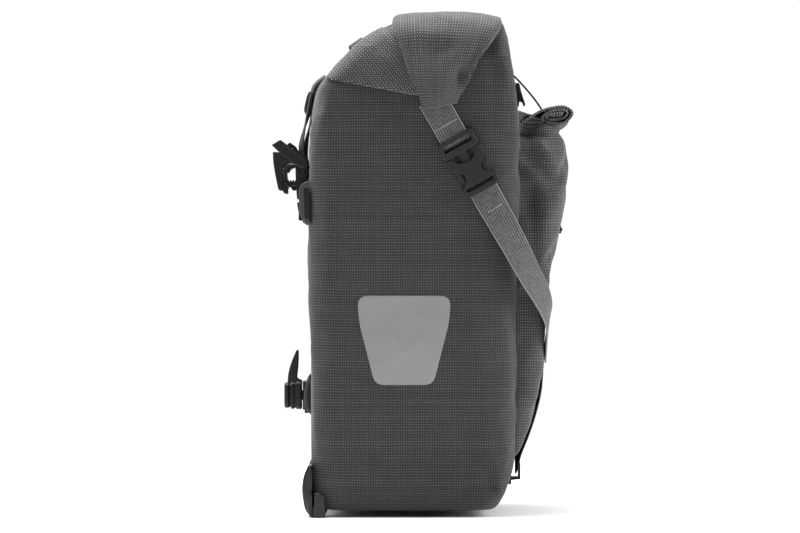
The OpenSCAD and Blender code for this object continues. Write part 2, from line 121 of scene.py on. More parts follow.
def crease(x, z, start, end, width):
    """1 at the start of a line in the XZ plane, fading along it and to both sides."""
    a, b = np.array(start) * MM, np.array(end) * MM
    ab = b - a
    t = np.clip(((x - a[0]) * ab[0] + (z - a[1]) * ab[1]) / (ab @ ab), 0, 1)
    d = np.hypot(x - a[0] - t * ab[0], z - a[1] - t * ab[1])
    return np.exp(-(d / (width * MM)) ** 2) * (1 - 0.85 * t)


def half_width(z):
    return BOTTOM_HALF + (z - BASE) * SIDE_SLOPE


# ---- Mesh helpers ----

def link(obj, material=None):
    bpy.context.scene.collection.objects.link(obj)
    if material is not None:
        obj.data.materials.clear()
        obj.data.materials.append(material)
    return obj


def build(name, verts, faces, uv, material, angle=None):
    """A smooth-shaded mesh. uv holds one thread position, in metres, for each face corner."""
    mesh = bpy.data.meshes.new(name)
    mesh.from_pydata([tuple(v) for v in verts], [], faces)
    if uv is not None:
        layer = mesh.uv_layers.new(name="thread")
        layer.data.foreach_set("uv", np.asarray(uv, np.float32).ravel())
    mesh.polygons.foreach_set("use_smooth", [True] * len(mesh.polygons))
    if angle is not None:
        mesh.set_sharp_from_angle(angle=math.radians(angle))
    mesh.validate()
    return link(bpy.data.objects.new(name, mesh), material)


def grid_mesh(name, points, threads, material, wrap=False, caps=False, other=None, pick=None):
    """A mesh over rows and columns of points. Quads in pick take their threads from other."""
    rows, cols = points.shape[:2]
    count = cols if wrap else cols - 1
    i, k = np.meshgrid(np.arange(rows - 1), np.arange(count), indexing="ij")
    nxt = (k + 1) % cols
    quads = np.stack([i * cols + k, i * cols + nxt, (i + 1) * cols + nxt, (i + 1) * cols + k], -1)

    def corners(t):
        return np.stack([t[i, k], t[i, k + 1], t[i + 1, k + 1], t[i + 1, k]], -2).reshape(-1, 4, 2)

    uv = corners(threads)
    if other is not None:
        uv = np.where(pick.reshape(-1, 1, 1), corners(other), uv)
    uv = uv.reshape(-1, 2)
    faces = quads.reshape(-1, 4).tolist()
    if caps:
        uv = uv.tolist()
        half = cols // 2
        for row, turned in ((0, True), (rows - 1, False)):
            for k in range(half):
                face = [k, k + 1, cols - k - 1, (cols - k) % cols]
                face = [c for i, c in enumerate(face) if c not in face[:i]]
                if len(face) < 3:
                    continue
                face = face[::-1] if turned else face
                faces.append([row * cols + c for c in face])
                uv += [threads[row, c].tolist() for c in face]
    return build(name, points.reshape(-1, 3), faces, uv, material)


def grid_normals(points, wrap=False):
    if wrap:
        across = np.roll(points, -1, 1) - np.roll(points, 1, 1)
    else:
        across = np.gradient(points, axis=1)
    normal = np.cross(across, np.gradient(points, axis=0))
    return normal / np.maximum(np.linalg.norm(normal, axis=2, keepdims=True), 1e-12)


def mirrored(obj, name):
    """A copy of obj on the other side of the plane Y = 0."""
    mesh = obj.data.copy()
    mesh.transform(Matrix.Scale(-1, 4, (0, 1, 0)))
    mesh.flip_normals()
    return link(bpy.data.objects.new(name, mesh))


def place(obj, body, slot, *nodes):
    """Puts a finished piece on its body and lets it stand for CAD nodes."""
    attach(obj, body)
    if nodes:
        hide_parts(*nodes)
    return obj


def unit(v):
    v = np.asarray(v, float)
    return v / np.maximum(np.linalg.norm(v, axis=-1, keepdims=True), 1e-12)


def band(name, knots, width, thick, material, step=2.5 * MM, relief=None):
    """Flat webbing through knots of (centre, width direction), with rounded edges."""
    rows, along = even([tuple(c) + tuple(a) for c, a in knots], step)
    centre = rows[:, :3]
    run = unit(np.gradient(centre, axis=0))
    wide = rows[:, 3:]
    wide = unit(wide - run * np.sum(wide * run, axis=1)[:, None])
    out = np.cross(run, wide)
    flat = np.linspace(-1, 1, 12) * (width / 2 - thick / 2)
    turn = np.linspace(-math.pi / 2, math.pi / 2, 5)[1:-1]
    edge = width / 2 - thick / 2
    top = [(p, thick / 2) for p in flat]
    right = [(edge + thick / 2 * math.cos(a), -thick / 2 * math.sin(a)) for a in turn]
    bottom = [(p, -thick / 2) for p in flat[::-1]]
    left = [(-edge - thick / 2 * math.cos(a), thick / 2 * math.sin(a)) for a in turn]
    section = np.array(top + right + bottom + left)
    lift = 0 if relief is None else relief(section[None, :, 0], along[:, None])
    points = (centre[:, None] + wide[:, None] * section[None, :, :1]
              + out[:, None] * (section[None, :, 1:] + lift))
    u = np.append(section[:, 0], section[0, 0])
    threads = np.stack(np.broadcast_arrays(u[None, :], along[:, None]), -1)
    return grid_mesh(name, points, threads, material, wrap=True, caps=True)


def stitches(name, paths, material, pitch=3.2 * MM, length=2.3 * MM, radius=0.28 * MM):
    """Rows of short raised threads along paths of points."""
    verts, faces = [], []
    ring = np.linspace(0, 2 * math.pi, 6, endpoint=False)
    for path in paths:
        path = np.array(path, float)
        dense, along = even(path, 0.2 * MM)
        for s in np.arange(pitch / 2, along[-1], pitch):
            here = np.array([np.interp(s, along, dense[:, k]) for k in range(3)])
            ahead = np.array([np.interp(s + 0.3 * MM, along, dense[:, k]) for k in range(3)])
            behind = np.array([np.interp(s - 0.3 * MM, along, dense[:, k]) for k in range(3)])
            run = unit(ahead - behind)
            side = unit(np.cross(run, [0.31, 0.57, 0.76]))
            up = np.cross(run, side)
            first = len(verts)
            for t, r in ((-0.5, 0.35), (-0.3, 1.0), (0.3, 1.0), (0.5, 0.35)):
                for a in ring:
                    spread = radius * r * (side * math.cos(a) + up * math.sin(a))
                    verts.append(here + run * t * length + spread)
            for row in range(3):
                for k in range(6):
                    a, b = first + 6 * row + k, first + 6 * row + (k + 1) % 6
                    faces.append([a, b, b + 6, a + 6])
            faces.append([first + k for k in range(5, -1, -1)])
            faces.append([first + 18 + k for k in range(6)])
    return build(name, verts, faces, None, material)


def rounded(points, radius, steps=5):
    """A closed outline with its corners rounded. A point may carry its own radius."""
    result = []
    count = len(points)
    for i in range(count):
        before, here, after = (np.array(points[(i + d) % count][:2], float) for d in (-1, 0, 1))
        r = points[i][2] if len(points[i]) > 2 else radius
        to_before, to_after = before - here, after - here
        reach = min(r, 0.48 * np.linalg.norm(to_before), 0.48 * np.linalg.norm(to_after))
        start = here + unit(to_before) * reach
        end = here + unit(to_after) * reach
        for t in np.linspace(0, 1, steps):
            result.append((1 - t) ** 2 * start + 2 * t * (1 - t) * here + t * t * end)
    return result


def plate(name, outlines, low, high, bevel, matrix, material):
    """A plate with rounded rims: outlines in millimetres, the first outside and the rest holes."""
    curve = bpy.data.curves.new(name, "CURVE")
    curve.dimensions = "2D"
    curve.fill_mode = "BOTH"
    for outline in outlines:
        line = curve.splines.new("POLY")
        line.points.add(len(outline) - 1)
        for point, xy in zip(line.points, outline):
            point.co = (xy[0] * MM, xy[1] * MM, 0, 1)
        line.use_cyclic_u = True
    curve.extrude = (high - low) / 2 * MM - bevel * MM
    curve.bevel_depth = bevel * MM
    curve.bevel_resolution = 3
    curve.offset = -bevel * MM
    source = bpy.data.objects.new(name + "_outline", curve)
    bpy.context.scene.collection.objects.link(source)
    bpy.context.view_layer.update()
    mesh = bpy.data.meshes.new_from_object(source)
    bpy.data.objects.remove(source)
    bpy.data.curves.remove(curve)
    mesh.name = name
    mesh.transform(matrix @ Matrix.Translation((0, 0, (low + high) / 2 * MM)))
    mesh.polygons.foreach_set("use_smooth", [True] * len(mesh.polygons))
    mesh.set_sharp_from_angle(angle=math.radians(32))
    return link(bpy.data.objects.new(name, mesh), material)


def joined(name, *objects):
    """Several meshes as one piece."""
    bpy.ops.object.select_all(action="DESELECT")
    for obj in objects:
        obj.select_set(True)
    bpy.context.view_layer.objects.active = objects[0]
    bpy.ops.object.join()
    objects[0].name = name
    return objects[0]


def skin_of(obj):
    return BVHTree.FromObject(obj, bpy.context.evaluated_depsgraph_get())


# ---- Materials ----

class Nodes:
    """A short way to write a node material."""

    def __init__(self, name, **settings):
        self.material = bpy.data.materials.new(name)
        self.material.use_nodes = True
        self.tree = self.material.node_tree
        self.shader = self.tree.nodes["Principled BSDF"]
        for key, value in settings.items():
            self.shader.inputs[key.replace("_", " ")].default_value = value

    def add(self, kind, **values):
        node = self.tree.nodes.new(kind)
        for key, value in values.items():
            setattr(node, key, value)
        return node

    def plug(self, value, socket):
        if isinstance(value, (int, float, tuple)):
            socket.default_value = value
        else:
            self.tree.links.new(value, socket)

    def math(self, operation, *values):
        node = self.add("ShaderNodeMath", operation=operation)
        for value, socket in zip(values, node.inputs):
            self.plug(value, socket)
        return node.outputs[0]

    def mix(self, factor, a, b):
        """a at factor 0 and b at 1, for plain numbers."""
        return self.math("ADD", a, self.math("MULTIPLY", factor, self.math("SUBTRACT", b, a)))

    def noise(self, vector, scale, detail=2.0):
        node = self.add("ShaderNodeTexNoise")
        self.plug(vector, node.inputs["Vector"])
        node.inputs["Scale"].default_value = scale
        node.inputs["Detail"].default_value = detail
        return node.outputs[0]

    def white(self, value, seed):
        node = self.add("ShaderNodeTexWhiteNoise", noise_dimensions="1D")
        self.plug(self.math("ADD", value, seed), node.inputs["W"])
        return node.outputs[0]

    def thread_uv(self):
        uv = self.add("ShaderNodeUVMap", uv_map="thread")
        split = self.add("ShaderNodeSeparateXYZ")
        self.plug(uv.outputs[0], split.inputs[0])
        return split.outputs[0], split.outputs[1]

    def grey(self, value, tint=(1.0, 1.0, 1.0)):
        """A near-neutral colour of the given brightness."""
        node = self.add("ShaderNodeCombineColor")
        for k in range(3):
            self.plug(self.math("MULTIPLY", value, tint[k]), node.inputs[k])
        return node.outputs[0]

    def bump(self, height, distance, strength=1.0):
        node = self.add("ShaderNodeBump")
        node.inputs["Distance"].default_value = distance
        node.inputs["Strength"].default_value = strength
        self.plug(height, node.inputs["Height"])
        self.tree.links.new(node.outputs[0], self.shader.inputs["Normal"])

    def place(self):
        return self.add("ShaderNodeTexCoord").outputs["Object"]


def woven(name, light, dark, pitch_u=1.05 * MM, pitch_v=1.185 * MM):
    """Coarse plain weave. Light threads run along u; every second one is much darker. The colour also carries painted
    shade in the dips between threads and a painted highlight on their crowns.
    """
    n = Nodes(name, Roughness=0.8, Specular_IOR_Level=0.22, Sheen_Weight=0.12, Sheen_Roughness=0.45)
    u, v = n.thread_uv()
    spot = n.add("ShaderNodeCombineXYZ")
    n.plug(u, spot.inputs[0])
    n.plug(v, spot.inputs[1])
    sway = n.math("SUBTRACT", n.noise(spot.outputs[0], 55.0, 2.0), 0.5)
    x = n.math("DIVIDE", n.math("ADD", u, n.math("MULTIPLY", sway, 1.6 * MM)), pitch_u)
    y = n.math("DIVIDE", n.math("ADD", v, n.math("MULTIPLY", sway, 1.0 * MM)), pitch_v)
    column, row = n.math("FLOOR", x), n.math("FLOOR", y)
    across_x = n.math("COSINE", n.math("MULTIPLY", n.math("SUBTRACT", n.math("FRACT", x), 0.5), math.pi))
    across_y = n.math("COSINE", n.math("MULTIPLY", n.math("SUBTRACT", n.math("FRACT", y), 0.5), math.pi))
    over = n.math("PINGPONG", n.math("ADD", column, row), 1.0)
    odd_row = n.math("PINGPONG", row, 1.0)
    light_top = n.math("MULTIPLY", n.math("POWER", across_y, 0.6), n.mix(across_x, 0.55, 1.0))
    dark_top = n.math("MULTIPLY", n.math("POWER", across_x, 0.6), n.mix(across_y, 0.45, 1.0))
    height = n.mix(over, light_top, n.math("MULTIPLY", dark_top, 0.85))
    coordinate = n.add("ShaderNodeCombineXYZ")
    n.plug(u, coordinate.inputs[0])
    n.plug(v, coordinate.inputs[1])
    patchy = n.mix(n.noise(coordinate.outputs[0], 45.0, 3.0), 0.8, 1.2)
    fleck = n.mix(n.noise(coordinate.outputs[0], 700.0, 1.0), 0.5, 1.5)
    bright = n.math("MULTIPLY", n.mix(odd_row, light, light * 0.38), n.mix(n.white(row, 3.7), 0.85, 1.15))
    dim = n.math("MULTIPLY", n.mix(odd_row, dark * 1.5, dark * 1.75), n.mix(n.white(column, 9.1), 0.8, 1.2))
    tone = n.math("MULTIPLY", n.math("MULTIPLY", n.mix(over, bright, dim), patchy), fleck)
    # Painted shade and highlight: the colour darkens to 0.14 where the threads dip and lightens to 1.2 on their crowns.
    tone = n.math("MULTIPLY", tone, n.mix(n.math("POWER", height, 1.4), 0.14, 1.2))
    n.tree.links.new(n.grey(tone, (1.0, 1.0, 1.01)), n.shader.inputs["Base Color"])
    n.bump(height, 0.22 * MM, 0.7)
    return n.material


def webbing(name, light, dark, rib=2.2 * MM, edge_highlight=1.35):
    """Webbing with ribs along v, short floats across each rib and a painted highlight along both edges."""
    n = Nodes(name, Roughness=0.7, Specular_IOR_Level=0.3, Sheen_Weight=0.7 * light)
    u, v = n.thread_uv()
    x = n.math("DIVIDE", u, rib)
    column = n.math("FLOOR", x)
    ridge = n.math("COSINE", n.math("MULTIPLY", n.math("SUBTRACT", n.math("FRACT", x), 0.5), math.pi))
    shifted = n.math("ADD", n.math("DIVIDE", v, 1.5 * MM), n.math("MULTIPLY", n.math("PINGPONG", column, 1.0), 0.5))
    dash = n.math("COSINE", n.math("MULTIPLY", n.math("SUBTRACT", n.math("FRACT", shifted), 0.5), math.pi))
    height = n.math("MULTIPLY", n.math("POWER", ridge, 1.1), n.mix(dash, 0.25, 1.0))
    speckle = n.mix(n.white(n.math("ADD", n.math("FLOOR", shifted), n.math("MULTIPLY", column, 57.0)), 0.4), 0.75, 1.25)
    # Painted highlight: the colour lightens to a flat bright tone along both edges of the webbing.
    edge = n.add("ShaderNodeMapRange", interpolation_type="SMOOTHSTEP")
    n.plug(n.math("ABSOLUTE", u), edge.inputs["Value"])
    edge.inputs["From Min"].default_value = 11.2 * MM
    edge.inputs["From Max"].default_value = 12.3 * MM
    tone = n.math("MULTIPLY", n.mix(height, dark, light), speckle)
    tone = n.mix(edge.outputs["Result"], tone, light * edge_highlight) if edge_highlight else tone
    n.tree.links.new(n.grey(tone), n.shader.inputs["Base Color"])
    n.bump(height, 0.25 * MM, 0.8)
    return n.material


def moulded(name, value, roughness, grain=0.05, coat=0.0):
    """Moulded plastic with a fine grain, worn a little smoother in places."""
    n = Nodes(name, Roughness=roughness, Specular_IOR_Level=0.25, Coat_Weight=coat, Coat_Roughness=0.25)
    where = n.place()
    fine = n.noise(where, 2600.0, 2.0)
    broad = n.noise(where, 45.0, 3.0)
    n.plug(n.mix(broad, roughness - 0.09, roughness + 0.09), n.shader.inputs["Roughness"])
    n.tree.links.new(n.grey(n.math("MULTIPLY", n.mix(broad, 0.85, 1.15), value), (1.0, 1.0, 1.02)),
                     n.shader.inputs["Base Color"])
    rim = n.add("ShaderNodeBevel", samples=4)
    rim.inputs["Radius"].default_value = 0.35 * MM
    n.bump(fine, grain * MM, 0.35)
    bump = n.shader.inputs["Normal"].links[0].from_node
    n.tree.links.new(rim.outputs[0], bump.inputs["Normal"])
    return n.material


def metal(name):
    n = Nodes(name, Metallic=1.0, Roughness=0.32)
    where = n.place()
    n.plug(n.mix(n.noise(where, 900.0, 3.0), 0.24, 0.42), n.shader.inputs["Roughness"])
    n.tree.links.new(n.grey(n.mix(n.noise(where, 120.0), 0.2, 0.28)), n.shader.inputs["Base Color"])
    n.bump(n.noise(where, 3000.0), 0.02 * MM, 0.3)
    return n.material


def film(name):
    """Light grey reflective film with a fine pebble."""
    n = Nodes(name, Roughness=0.42, Specular_IOR_Level=0.5)
    where = n.place()
    fine = n.noise(where, 1100.0, 1.0)
    tone = n.math("MULTIPLY", n.mix(fine, 0.88, 1.12), n.mix(n.noise(where, 25.0), 0.122, 0.145))
    n.tree.links.new(n.grey(tone), n.shader.inputs["Base Color"])
    n.bump(fine, 0.06 * MM, 0.5)
    return n.material


def cord(name, value):
    n = Nodes(name, Roughness=0.7)
    tone = n.mix(n.noise(n.place(), 1500.0), value * 0.8, value * 1.2)
    n.tree.links.new(n.grey(tone), n.shader.inputs["Base Color"])
    return n.material


FABRIC = woven("coated_fabric", 0.09, 0.0075)
# A lighter copy of the coated fabric: its extra brightness is painted top light on the roll and the gable folds.
FABRIC_ROLL_PAINTED_TOP_LIGHT = woven("coated_fabric_roll", 0.152, 0.013)
FABRIC_POCKET = woven("coated_fabric_pocket", 0.142, 0.014)
GREY_WEBBING = webbing("grey_webbing", 0.115, 0.0035)
BLACK_WEBBING = webbing("black_webbing", 0.01, 0.003)
TAB_WEBBING = webbing("tab_webbing", 0.1, 0.01, edge_highlight=None)
BLACK_PLASTIC = moulded("black_plastic", 0.008, 0.36)
GLOSS_PLASTIC = moulded("gloss_plastic", 0.003, 0.26, 0.02, 0.15)
BUCKLE_PLASTIC = moulded("buckle_plastic", 0.006, 0.4)
GREY_PLASTIC = moulded("grey_plastic", 0.035, 0.42)
FILM = film("reflective_patch")
STEEL = metal("steel")
THREAD = cord("thread_light", 0.3)
THREAD_DARK = cord("thread_dark", 0.03)
MATERIALS = {"coated_fabric": FABRIC, "grey_webbing": GREY_WEBBING, "black_webbing": BLACK_WEBBING,
             "reflective_patch": FILM, "black_plastic": BLACK_PLASTIC, "gloss_plastic": GLOSS_PLASTIC,
             "buckle_plastic": BUCKLE_PLASTIC, "steel": STEEL}

for part in frame["record"]["subparts"]:
    cad = frame["nodes"][part["node"]]
    cad.data.materials.clear()
    cad.data.materials.append(MATERIALS[part["material_slot"]])

# ---- Main compartment ----

# How far the rear face stands forward of the back panel's plane, by height.
BACK_LINE = profile([(5.6, 12), (9, 6.5), (14, 2.6), (22, 0), (80, -0.4), (200, -0.4), (300, -0.2), (343, 0.3),
                     (352, 2.4), (361, 5.1), (368, 7.6), (379, 15), (396, 29.5), (408, 41), (415, 50), (424, 66),
                     (428, 76)])
# How far the front face stands forward of the front panel's plane.
FRONT_LINE = profile([(5.6, -18), (8.3, -14), (14, -10), (22.4, -6.2), (33, -3.4), (43, -1.5), (76, 0.5), (200, 0.5),
                      (240, 1), (290, 3.5), (325, 4.8), (350, 3.6), (378, 0.2), (400, -3.4), (415, -6), (428, -9.5)])
# How far the sides are drawn in round the bottom and under the roll.
TUCK_LINE = profile([(5.6, 10), (8, 6), (12, 2.6), (18, 0.5), (26, 0), (385, 0), (397, 0.8), (406, 3),
                     (413, 7), (420, 14), (428, 25)])
CORNER_LINE = profile([(5.6, 20), (40, 18), (300, 17), (345, 15), (380, 12), (428, 10)])
TOP_OF_BODY = 427.5 * MM
SETTLE_FRAMES = 20


def panel_swell(x, z):
    """How far a side panel bulges out of its plane."""
    depth = FRONT - BACK
    across = np.sin(math.pi * np.clip((x - BACK) / depth, 0, 1)) ** 0.8
    height = smooth((z - BASE) / (60 * MM)) * smooth((400 * MM - z) / (80 * MM))
    return 0.6 * MM * across * height


def body_ring(z, shrink=1.0):
    """One level of the bag: points round it from the middle of the back, and its side threads."""
    face_n, corner_n, side_n = 26, 6, 26
    xb, xf = BACK + BACK_LINE(z), FRONT + FRONT_LINE(z)
    half = half_width(z) - TUCK_LINE(z)
    r = min(CORNER_LINE(z), 0.3 * (xf - xb))
    quarter = np.linspace(0, math.pi / 2, corner_n, endpoint=False)
    face = np.linspace(0, 1, face_n, endpoint=False)
    x_side = np.linspace(xb + r, xf - r, side_n, endpoint=False)
    x = np.concatenate([np.full(face_n, xb), xb + r - r * np.cos(quarter), x_side,
                        xf - r + r * np.sin(quarter), np.full(face_n, xf), [xf]])
    y = np.concatenate([-(half - r) * face, -(half - r) - r * np.sin(quarter), np.full(side_n, -half),
                        -(half - r) - r * np.cos(quarter), -(half - r) * (1 - face), [0.0]])
    arc = np.concatenate([xb + r - r * math.pi / 2 - (half - r) * (1 - face), xb + r - r * (math.pi / 2 - quarter),
                          x_side, xf - r + r * quarter, xf - r + r * math.pi / 2 + (half - r) * face,
                          [xf - r + r * math.pi / 2 + (half - r)]])
    middle = (xb + xf) / 2
    x, y = middle + (x - middle) * shrink, y * shrink
    ring = np.column_stack([x, y])
    ring = np.vstack([ring, ring[-2:0:-1] * [1, -1]])
    arc = np.concatenate([arc, -arc[-2:0:-1] + 2 * arc[-1]])
    return ring, arc, (face_n, corner_n, side_n)


def bag_body():
    levels = [(BASE + 0.4 * MM, s) for s in (0.03, 0.25, 0.5, 0.75, 0.92)]
    levels += [(z * MM, 1.0) for z in (5.6, 6.6, 8.2, 11, 15, 20, 26)]
    levels += [(z, 1.0) for z in np.arange(31 * MM, TOP_OF_BODY - 2 * MM, 5 * MM)]
    levels += [(TOP_OF_BODY, s) for s in (1.0, 0.9, 0.6, 0.3, 0.04)]
    points, side_threads, face_threads = [], [], []
    gone = 0.0
    before = None
    for z, shrink in levels:
        ring, arc, counts = body_ring(z, shrink)
        points.append(np.column_stack([ring, np.full(len(ring), z)]))
        if before is not None:
            gone += math.hypot(ring[0, 0] - before[0], z - before[1])
        before = (ring[0, 0], z)
        side_threads.append(np.column_stack([np.append(arc, 2 * arc[-1] - arc[-2]), np.full(len(arc) + 1, z)]))
        face_threads.append(np.column_stack([np.append(ring[:, 1], ring[0, 1]), np.full(len(arc) + 1, gone)]))
    points = np.array(points)
    face_n, corner_n, side_n = counts
    cols = points.shape[1]
    column = np.arange(cols)
    on_face = np.minimum(column, cols - 1 - column) < face_n
    on_face |= np.minimum(column, cols - column) >= face_n + 2 * corner_n + side_n
    pick = np.broadcast_to(on_face, (len(levels) - 1, cols))
    x, y, z = points[..., 0], points[..., 1], points[..., 2]
    normal = grid_normals(points, wrap=True)
    sideways = np.abs(normal[..., 1]) ** 2
    middle = smooth((z - BASE - 2 * MM) / (25 * MM)) * smooth((TOP_OF_BODY - z) / (30 * MM))
    push = panel_swell(x, z) * sideways + middle * 1.0 * MM * ripple(points, 95 * MM, 5)
    # Puffed rear edges of the side panels, behind the flat back panel.
    edge = np.clip(1 - (half_width(z) - np.abs(y)) / (30 * MM), 0, 1)
    rear = np.clip(-normal[..., 0], 0, 1)
    push += 1.0 * MM * smooth(edge) * rear * smooth((z - 30 * MM) / (50 * MM)) * smooth((345 * MM - z) / (60 * MM))
    board = (rear > 0.7) & (np.abs(y) < 112 * MM) & (z > 40 * MM) & (z < 345 * MM)
    push = np.where(board, 0.0, push)
    points = points + normal * push[..., None]
    # The rear edges of the side panels stand a little behind the flat back panel.
    heel = smooth((np.abs(y) - 112 * MM) / (8 * MM)) * smooth((z - 25 * MM) / (40 * MM))
    heel *= smooth((352 * MM - z) / (25 * MM)) * np.clip(1 - (x - BACK) / (22 * MM), 0, 1)
    points[..., 0] -= 3.4 * MM * heel
    body = grid_mesh("bag_body", points, np.array(side_threads), FABRIC, wrap=True, caps=True,
                     other=np.array(face_threads), pick=pick)
    hold = np.where(board, 1.0, 0.0)
    hold = np.maximum(hold, smooth((z - 395 * MM) / (20 * MM)))
    hold = np.maximum(hold, 0.8 * np.clip(normal[..., 0], 0, 1) ** 2 * smooth((z - 320 * MM) / (20 * MM)))
    hold = np.maximum(hold, smooth((22 * MM - z) / (14 * MM)))
    hold = np.maximum(hold, 0.35 * smooth(1 - np.abs(np.abs(y) - half_width(z) + 8 * MM) / (16 * MM))
                      * smooth((x - FRONT + 30 * MM) / (20 * MM)))
    drape(body, hold.ravel(), pressure=2.4, growth=0.014, cap=3.0 * MM)
    subdivide(body, 1)
    wrinkle(body, body_folds)
    return place(body, "bag", "coated_fabric", "main_shell")


def body_folds(points, normal):
    """Creases and small waves of the main compartment, measured along its normals."""
    x, y, z = points.T
    sideways = np.abs(normal[:, 1]) ** 2
    low = smooth((z - BASE) / (14 * MM))
    push = np.zeros(len(x))
    folds = [((72, 10), (47, 50), 3.4, -2.2), ((71, 11), (60, 66), 3.0, 1.6), ((72, 14), (34, 30), 3.2, 1.4),
             ((66, 16), (54, 58), 2.6, -1.4), ((-84, 9), (-38, 25), 2.4, 1.8), ((-80, 15), (-46, 32), 4, -1.2),
             ((62, 36), (40, 120), 9, 0.9), ((-80, 372), (-52, 330), 7, -1.2), ((-86, 360), (-66, 300), 6, 1.0),
             ((70, 340), (58, 290), 9, 0.9), ((79, 374), (74, 362), 1.1, -1.6), ((78, 346), (75, 330), 1.2, -1.3),
             ((-92, 330), (-70, 262), 8, -0.9), ((-90, 150), (-74, 60), 8, -0.8)]
    for start, end, width, depth in folds:
        push += depth * MM * crease(x, z, start, end, width) * sideways * low
    middle = smooth((z - BASE - 2 * MM) / (20 * MM)) * smooth((TOP_OF_BODY - z) / (20 * MM))
    push += middle * (0.3 * MM * ripple(points, 34 * MM, 6) + 0.08 * MM * ripple(points, 12 * MM, 7))
    # A soft fold runs down just inside each front edge of the side panels.
    line = FRONT - 19 * MM + 1.2 * MM * np.sin(z * 40)
    push -= 0.55 * MM * np.exp(-((x - line) / (3.5 * MM)) ** 2) * sideways * middle
    board = (normal[:, 0] < -0.7) & (np.abs(y) < 112 * MM) & (z > 40 * MM) & (z < 345 * MM)
    return np.where(board, 0.0, push)


def drape(obj, hold, pressure, growth, cap):
    """Lets the fabric settle over a short cloth simulation, moving no point further than cap."""
    mesh = obj.data
    rest = np.empty(len(mesh.vertices) * 3)
    mesh.vertices.foreach_get("co", rest)
    rest = rest.reshape(-1, 3)
    group = obj.vertex_groups.new(name="hold")
    for step in range(11):
        chosen = np.nonzero(np.round(np.resize(hold, len(rest)) * 10) == step)[0]
        group.add(chosen.tolist(), step / 10, "REPLACE")
    modifier = obj.modifiers.new("drape", "CLOTH")
    cloth = modifier.settings
    cloth.quality = 4
    cloth.mass = 0.35
    cloth.tension_stiffness = 12
    cloth.compression_stiffness = 8
    cloth.shear_stiffness = 4
    cloth.bending_stiffness = 0.35
    cloth.air_damping = 4
    cloth.use_pressure = True
    cloth.uniform_pressure_force = pressure
    cloth.shrink_min = -growth
    cloth.vertex_group_mass = "hold"
    cloth.effector_weights.gravity = 0
    modifier.collision_settings.use_collision = False
    scene = bpy.context.scene
    modifier.point_cache.frame_start = 1
    modifier.point_cache.frame_end = SETTLE_FRAMES
    for number in range(1, SETTLE_FRAMES + 1):
        scene.frame_set(number)
    settled = obj.evaluated_get(bpy.context.evaluated_depsgraph_get()).data
    moved = np.empty(len(rest) * 3)
    settled.vertices.foreach_get("co", moved)
    step = moved.reshape(-1, 3) - rest
    size = np.maximum(np.linalg.norm(step, axis=1), 1e-9)
    step *= (cap * np.tanh(size / cap) / size)[:, None]
    obj.modifiers.remove(modifier)
    obj.vertex_groups.remove(group)
    mesh.vertices.foreach_set("co", (rest + step).ravel())
    mesh.update()
    scene.frame_set(1)


def wrinkle(obj, folds):
    """Moves every point of obj along its normal by folds(points, normals)."""
    mesh = obj.data
    points = np.empty(len(mesh.vertices) * 3)
    mesh.vertices.foreach_get("co", points)
    points = points.reshape(-1, 3)
    normal = np.empty(len(mesh.vertices) * 3, np.float32)
    mesh.vertex_normals.foreach_get("vector", normal)
    normal = normal.reshape(-1, 3)
    points = points + normal * folds(points, normal)[:, None]
    mesh.vertices.foreach_set("co", points.ravel())
    mesh.update()


def subdivide(obj, levels):
    bpy.context.view_layer.objects.active = obj
    modifier = obj.modifiers.new("smoother", "SUBSURF")
    modifier.levels = levels
    modifier.render_levels = levels
    bpy.ops.object.modifier_apply(modifier=modifier.name)


BODY = bag_body()
BODY_SKIN = skin_of(BODY)


def on_body(x, z, side, lift):
    """A point lifted off the bag's side panel at X = x and Z = z."""
    start = Vector((x, side * (half_width(z) + 3 * MM), z))
    for _ in range(3):
        start.y = BODY_SKIN.find_nearest(start)[0].y
    return np.array([x, start.y + side * lift, z])



# ---- Reflective patches ----

def reflector(name, side):
    """A rounded patch that follows the side panel, with a thin rim."""
    lo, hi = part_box("reflector_" + name)
    middle = (lo.x + hi.x) / 2
    top, foot = hi.z, lo.z
    wide, narrow = (hi.x - lo.x) / 2 / MM, 25
    tall = (top - foot) / MM
    outline = rounded([(-narrow, 0, 8), (narrow, 0, 8), (wide - 1, tall * 0.72, 14), (wide, tall, 9), (-wide, tall, 9),
                       (-wide + 1, tall * 0.72, 14)], 9, 8)
    closed = np.array(outline + outline[:1]) * MM
    gone = np.append(0, np.cumsum(np.linalg.norm(np.diff(closed, axis=0), axis=1)))
    even_steps = np.linspace(0, gone[-1], 180, endpoint=False)
    outline = np.column_stack([np.interp(even_steps, gone, closed[:, k]) for k in (0, 1)])
    centre = np.array([0, tall * 0.52 * MM])
    shares = np.concatenate([np.linspace(0.002, 0.94, 16), [0.975, 0.99, 1.0, 1.0]])
    lifts = np.concatenate([np.full(17, 0.75), [0.66, 0.4, -0.4]])
    rows = []
    for share in shares:
        rows.append([on_body(middle + (centre + (p - centre) * share)[0], foot + (centre + (p - centre) * share)[1],
                             side, 0) for p in outline])
    points = np.array(rows)
    points[..., 1] += side * lifts[:, None] * MM
    if side > 0:
        points = points[:, ::-1]
    threads = np.concatenate([points[..., [0, 2]], points[:, :1, [0, 2]]], 1)
    patch = grid_mesh("patch_" + name, points[::-1], threads[::-1], FILM, wrap=True)
    return place(patch, "bag", "reflective_patch", "reflector_" + name)


# ---- Folded gables ----

GABLE_LOW = np.array([13.0, 378.0])
GABLE_TOP = np.array([71.0, 427.5])
GABLE_TIP = np.array([90.0, 363.5])


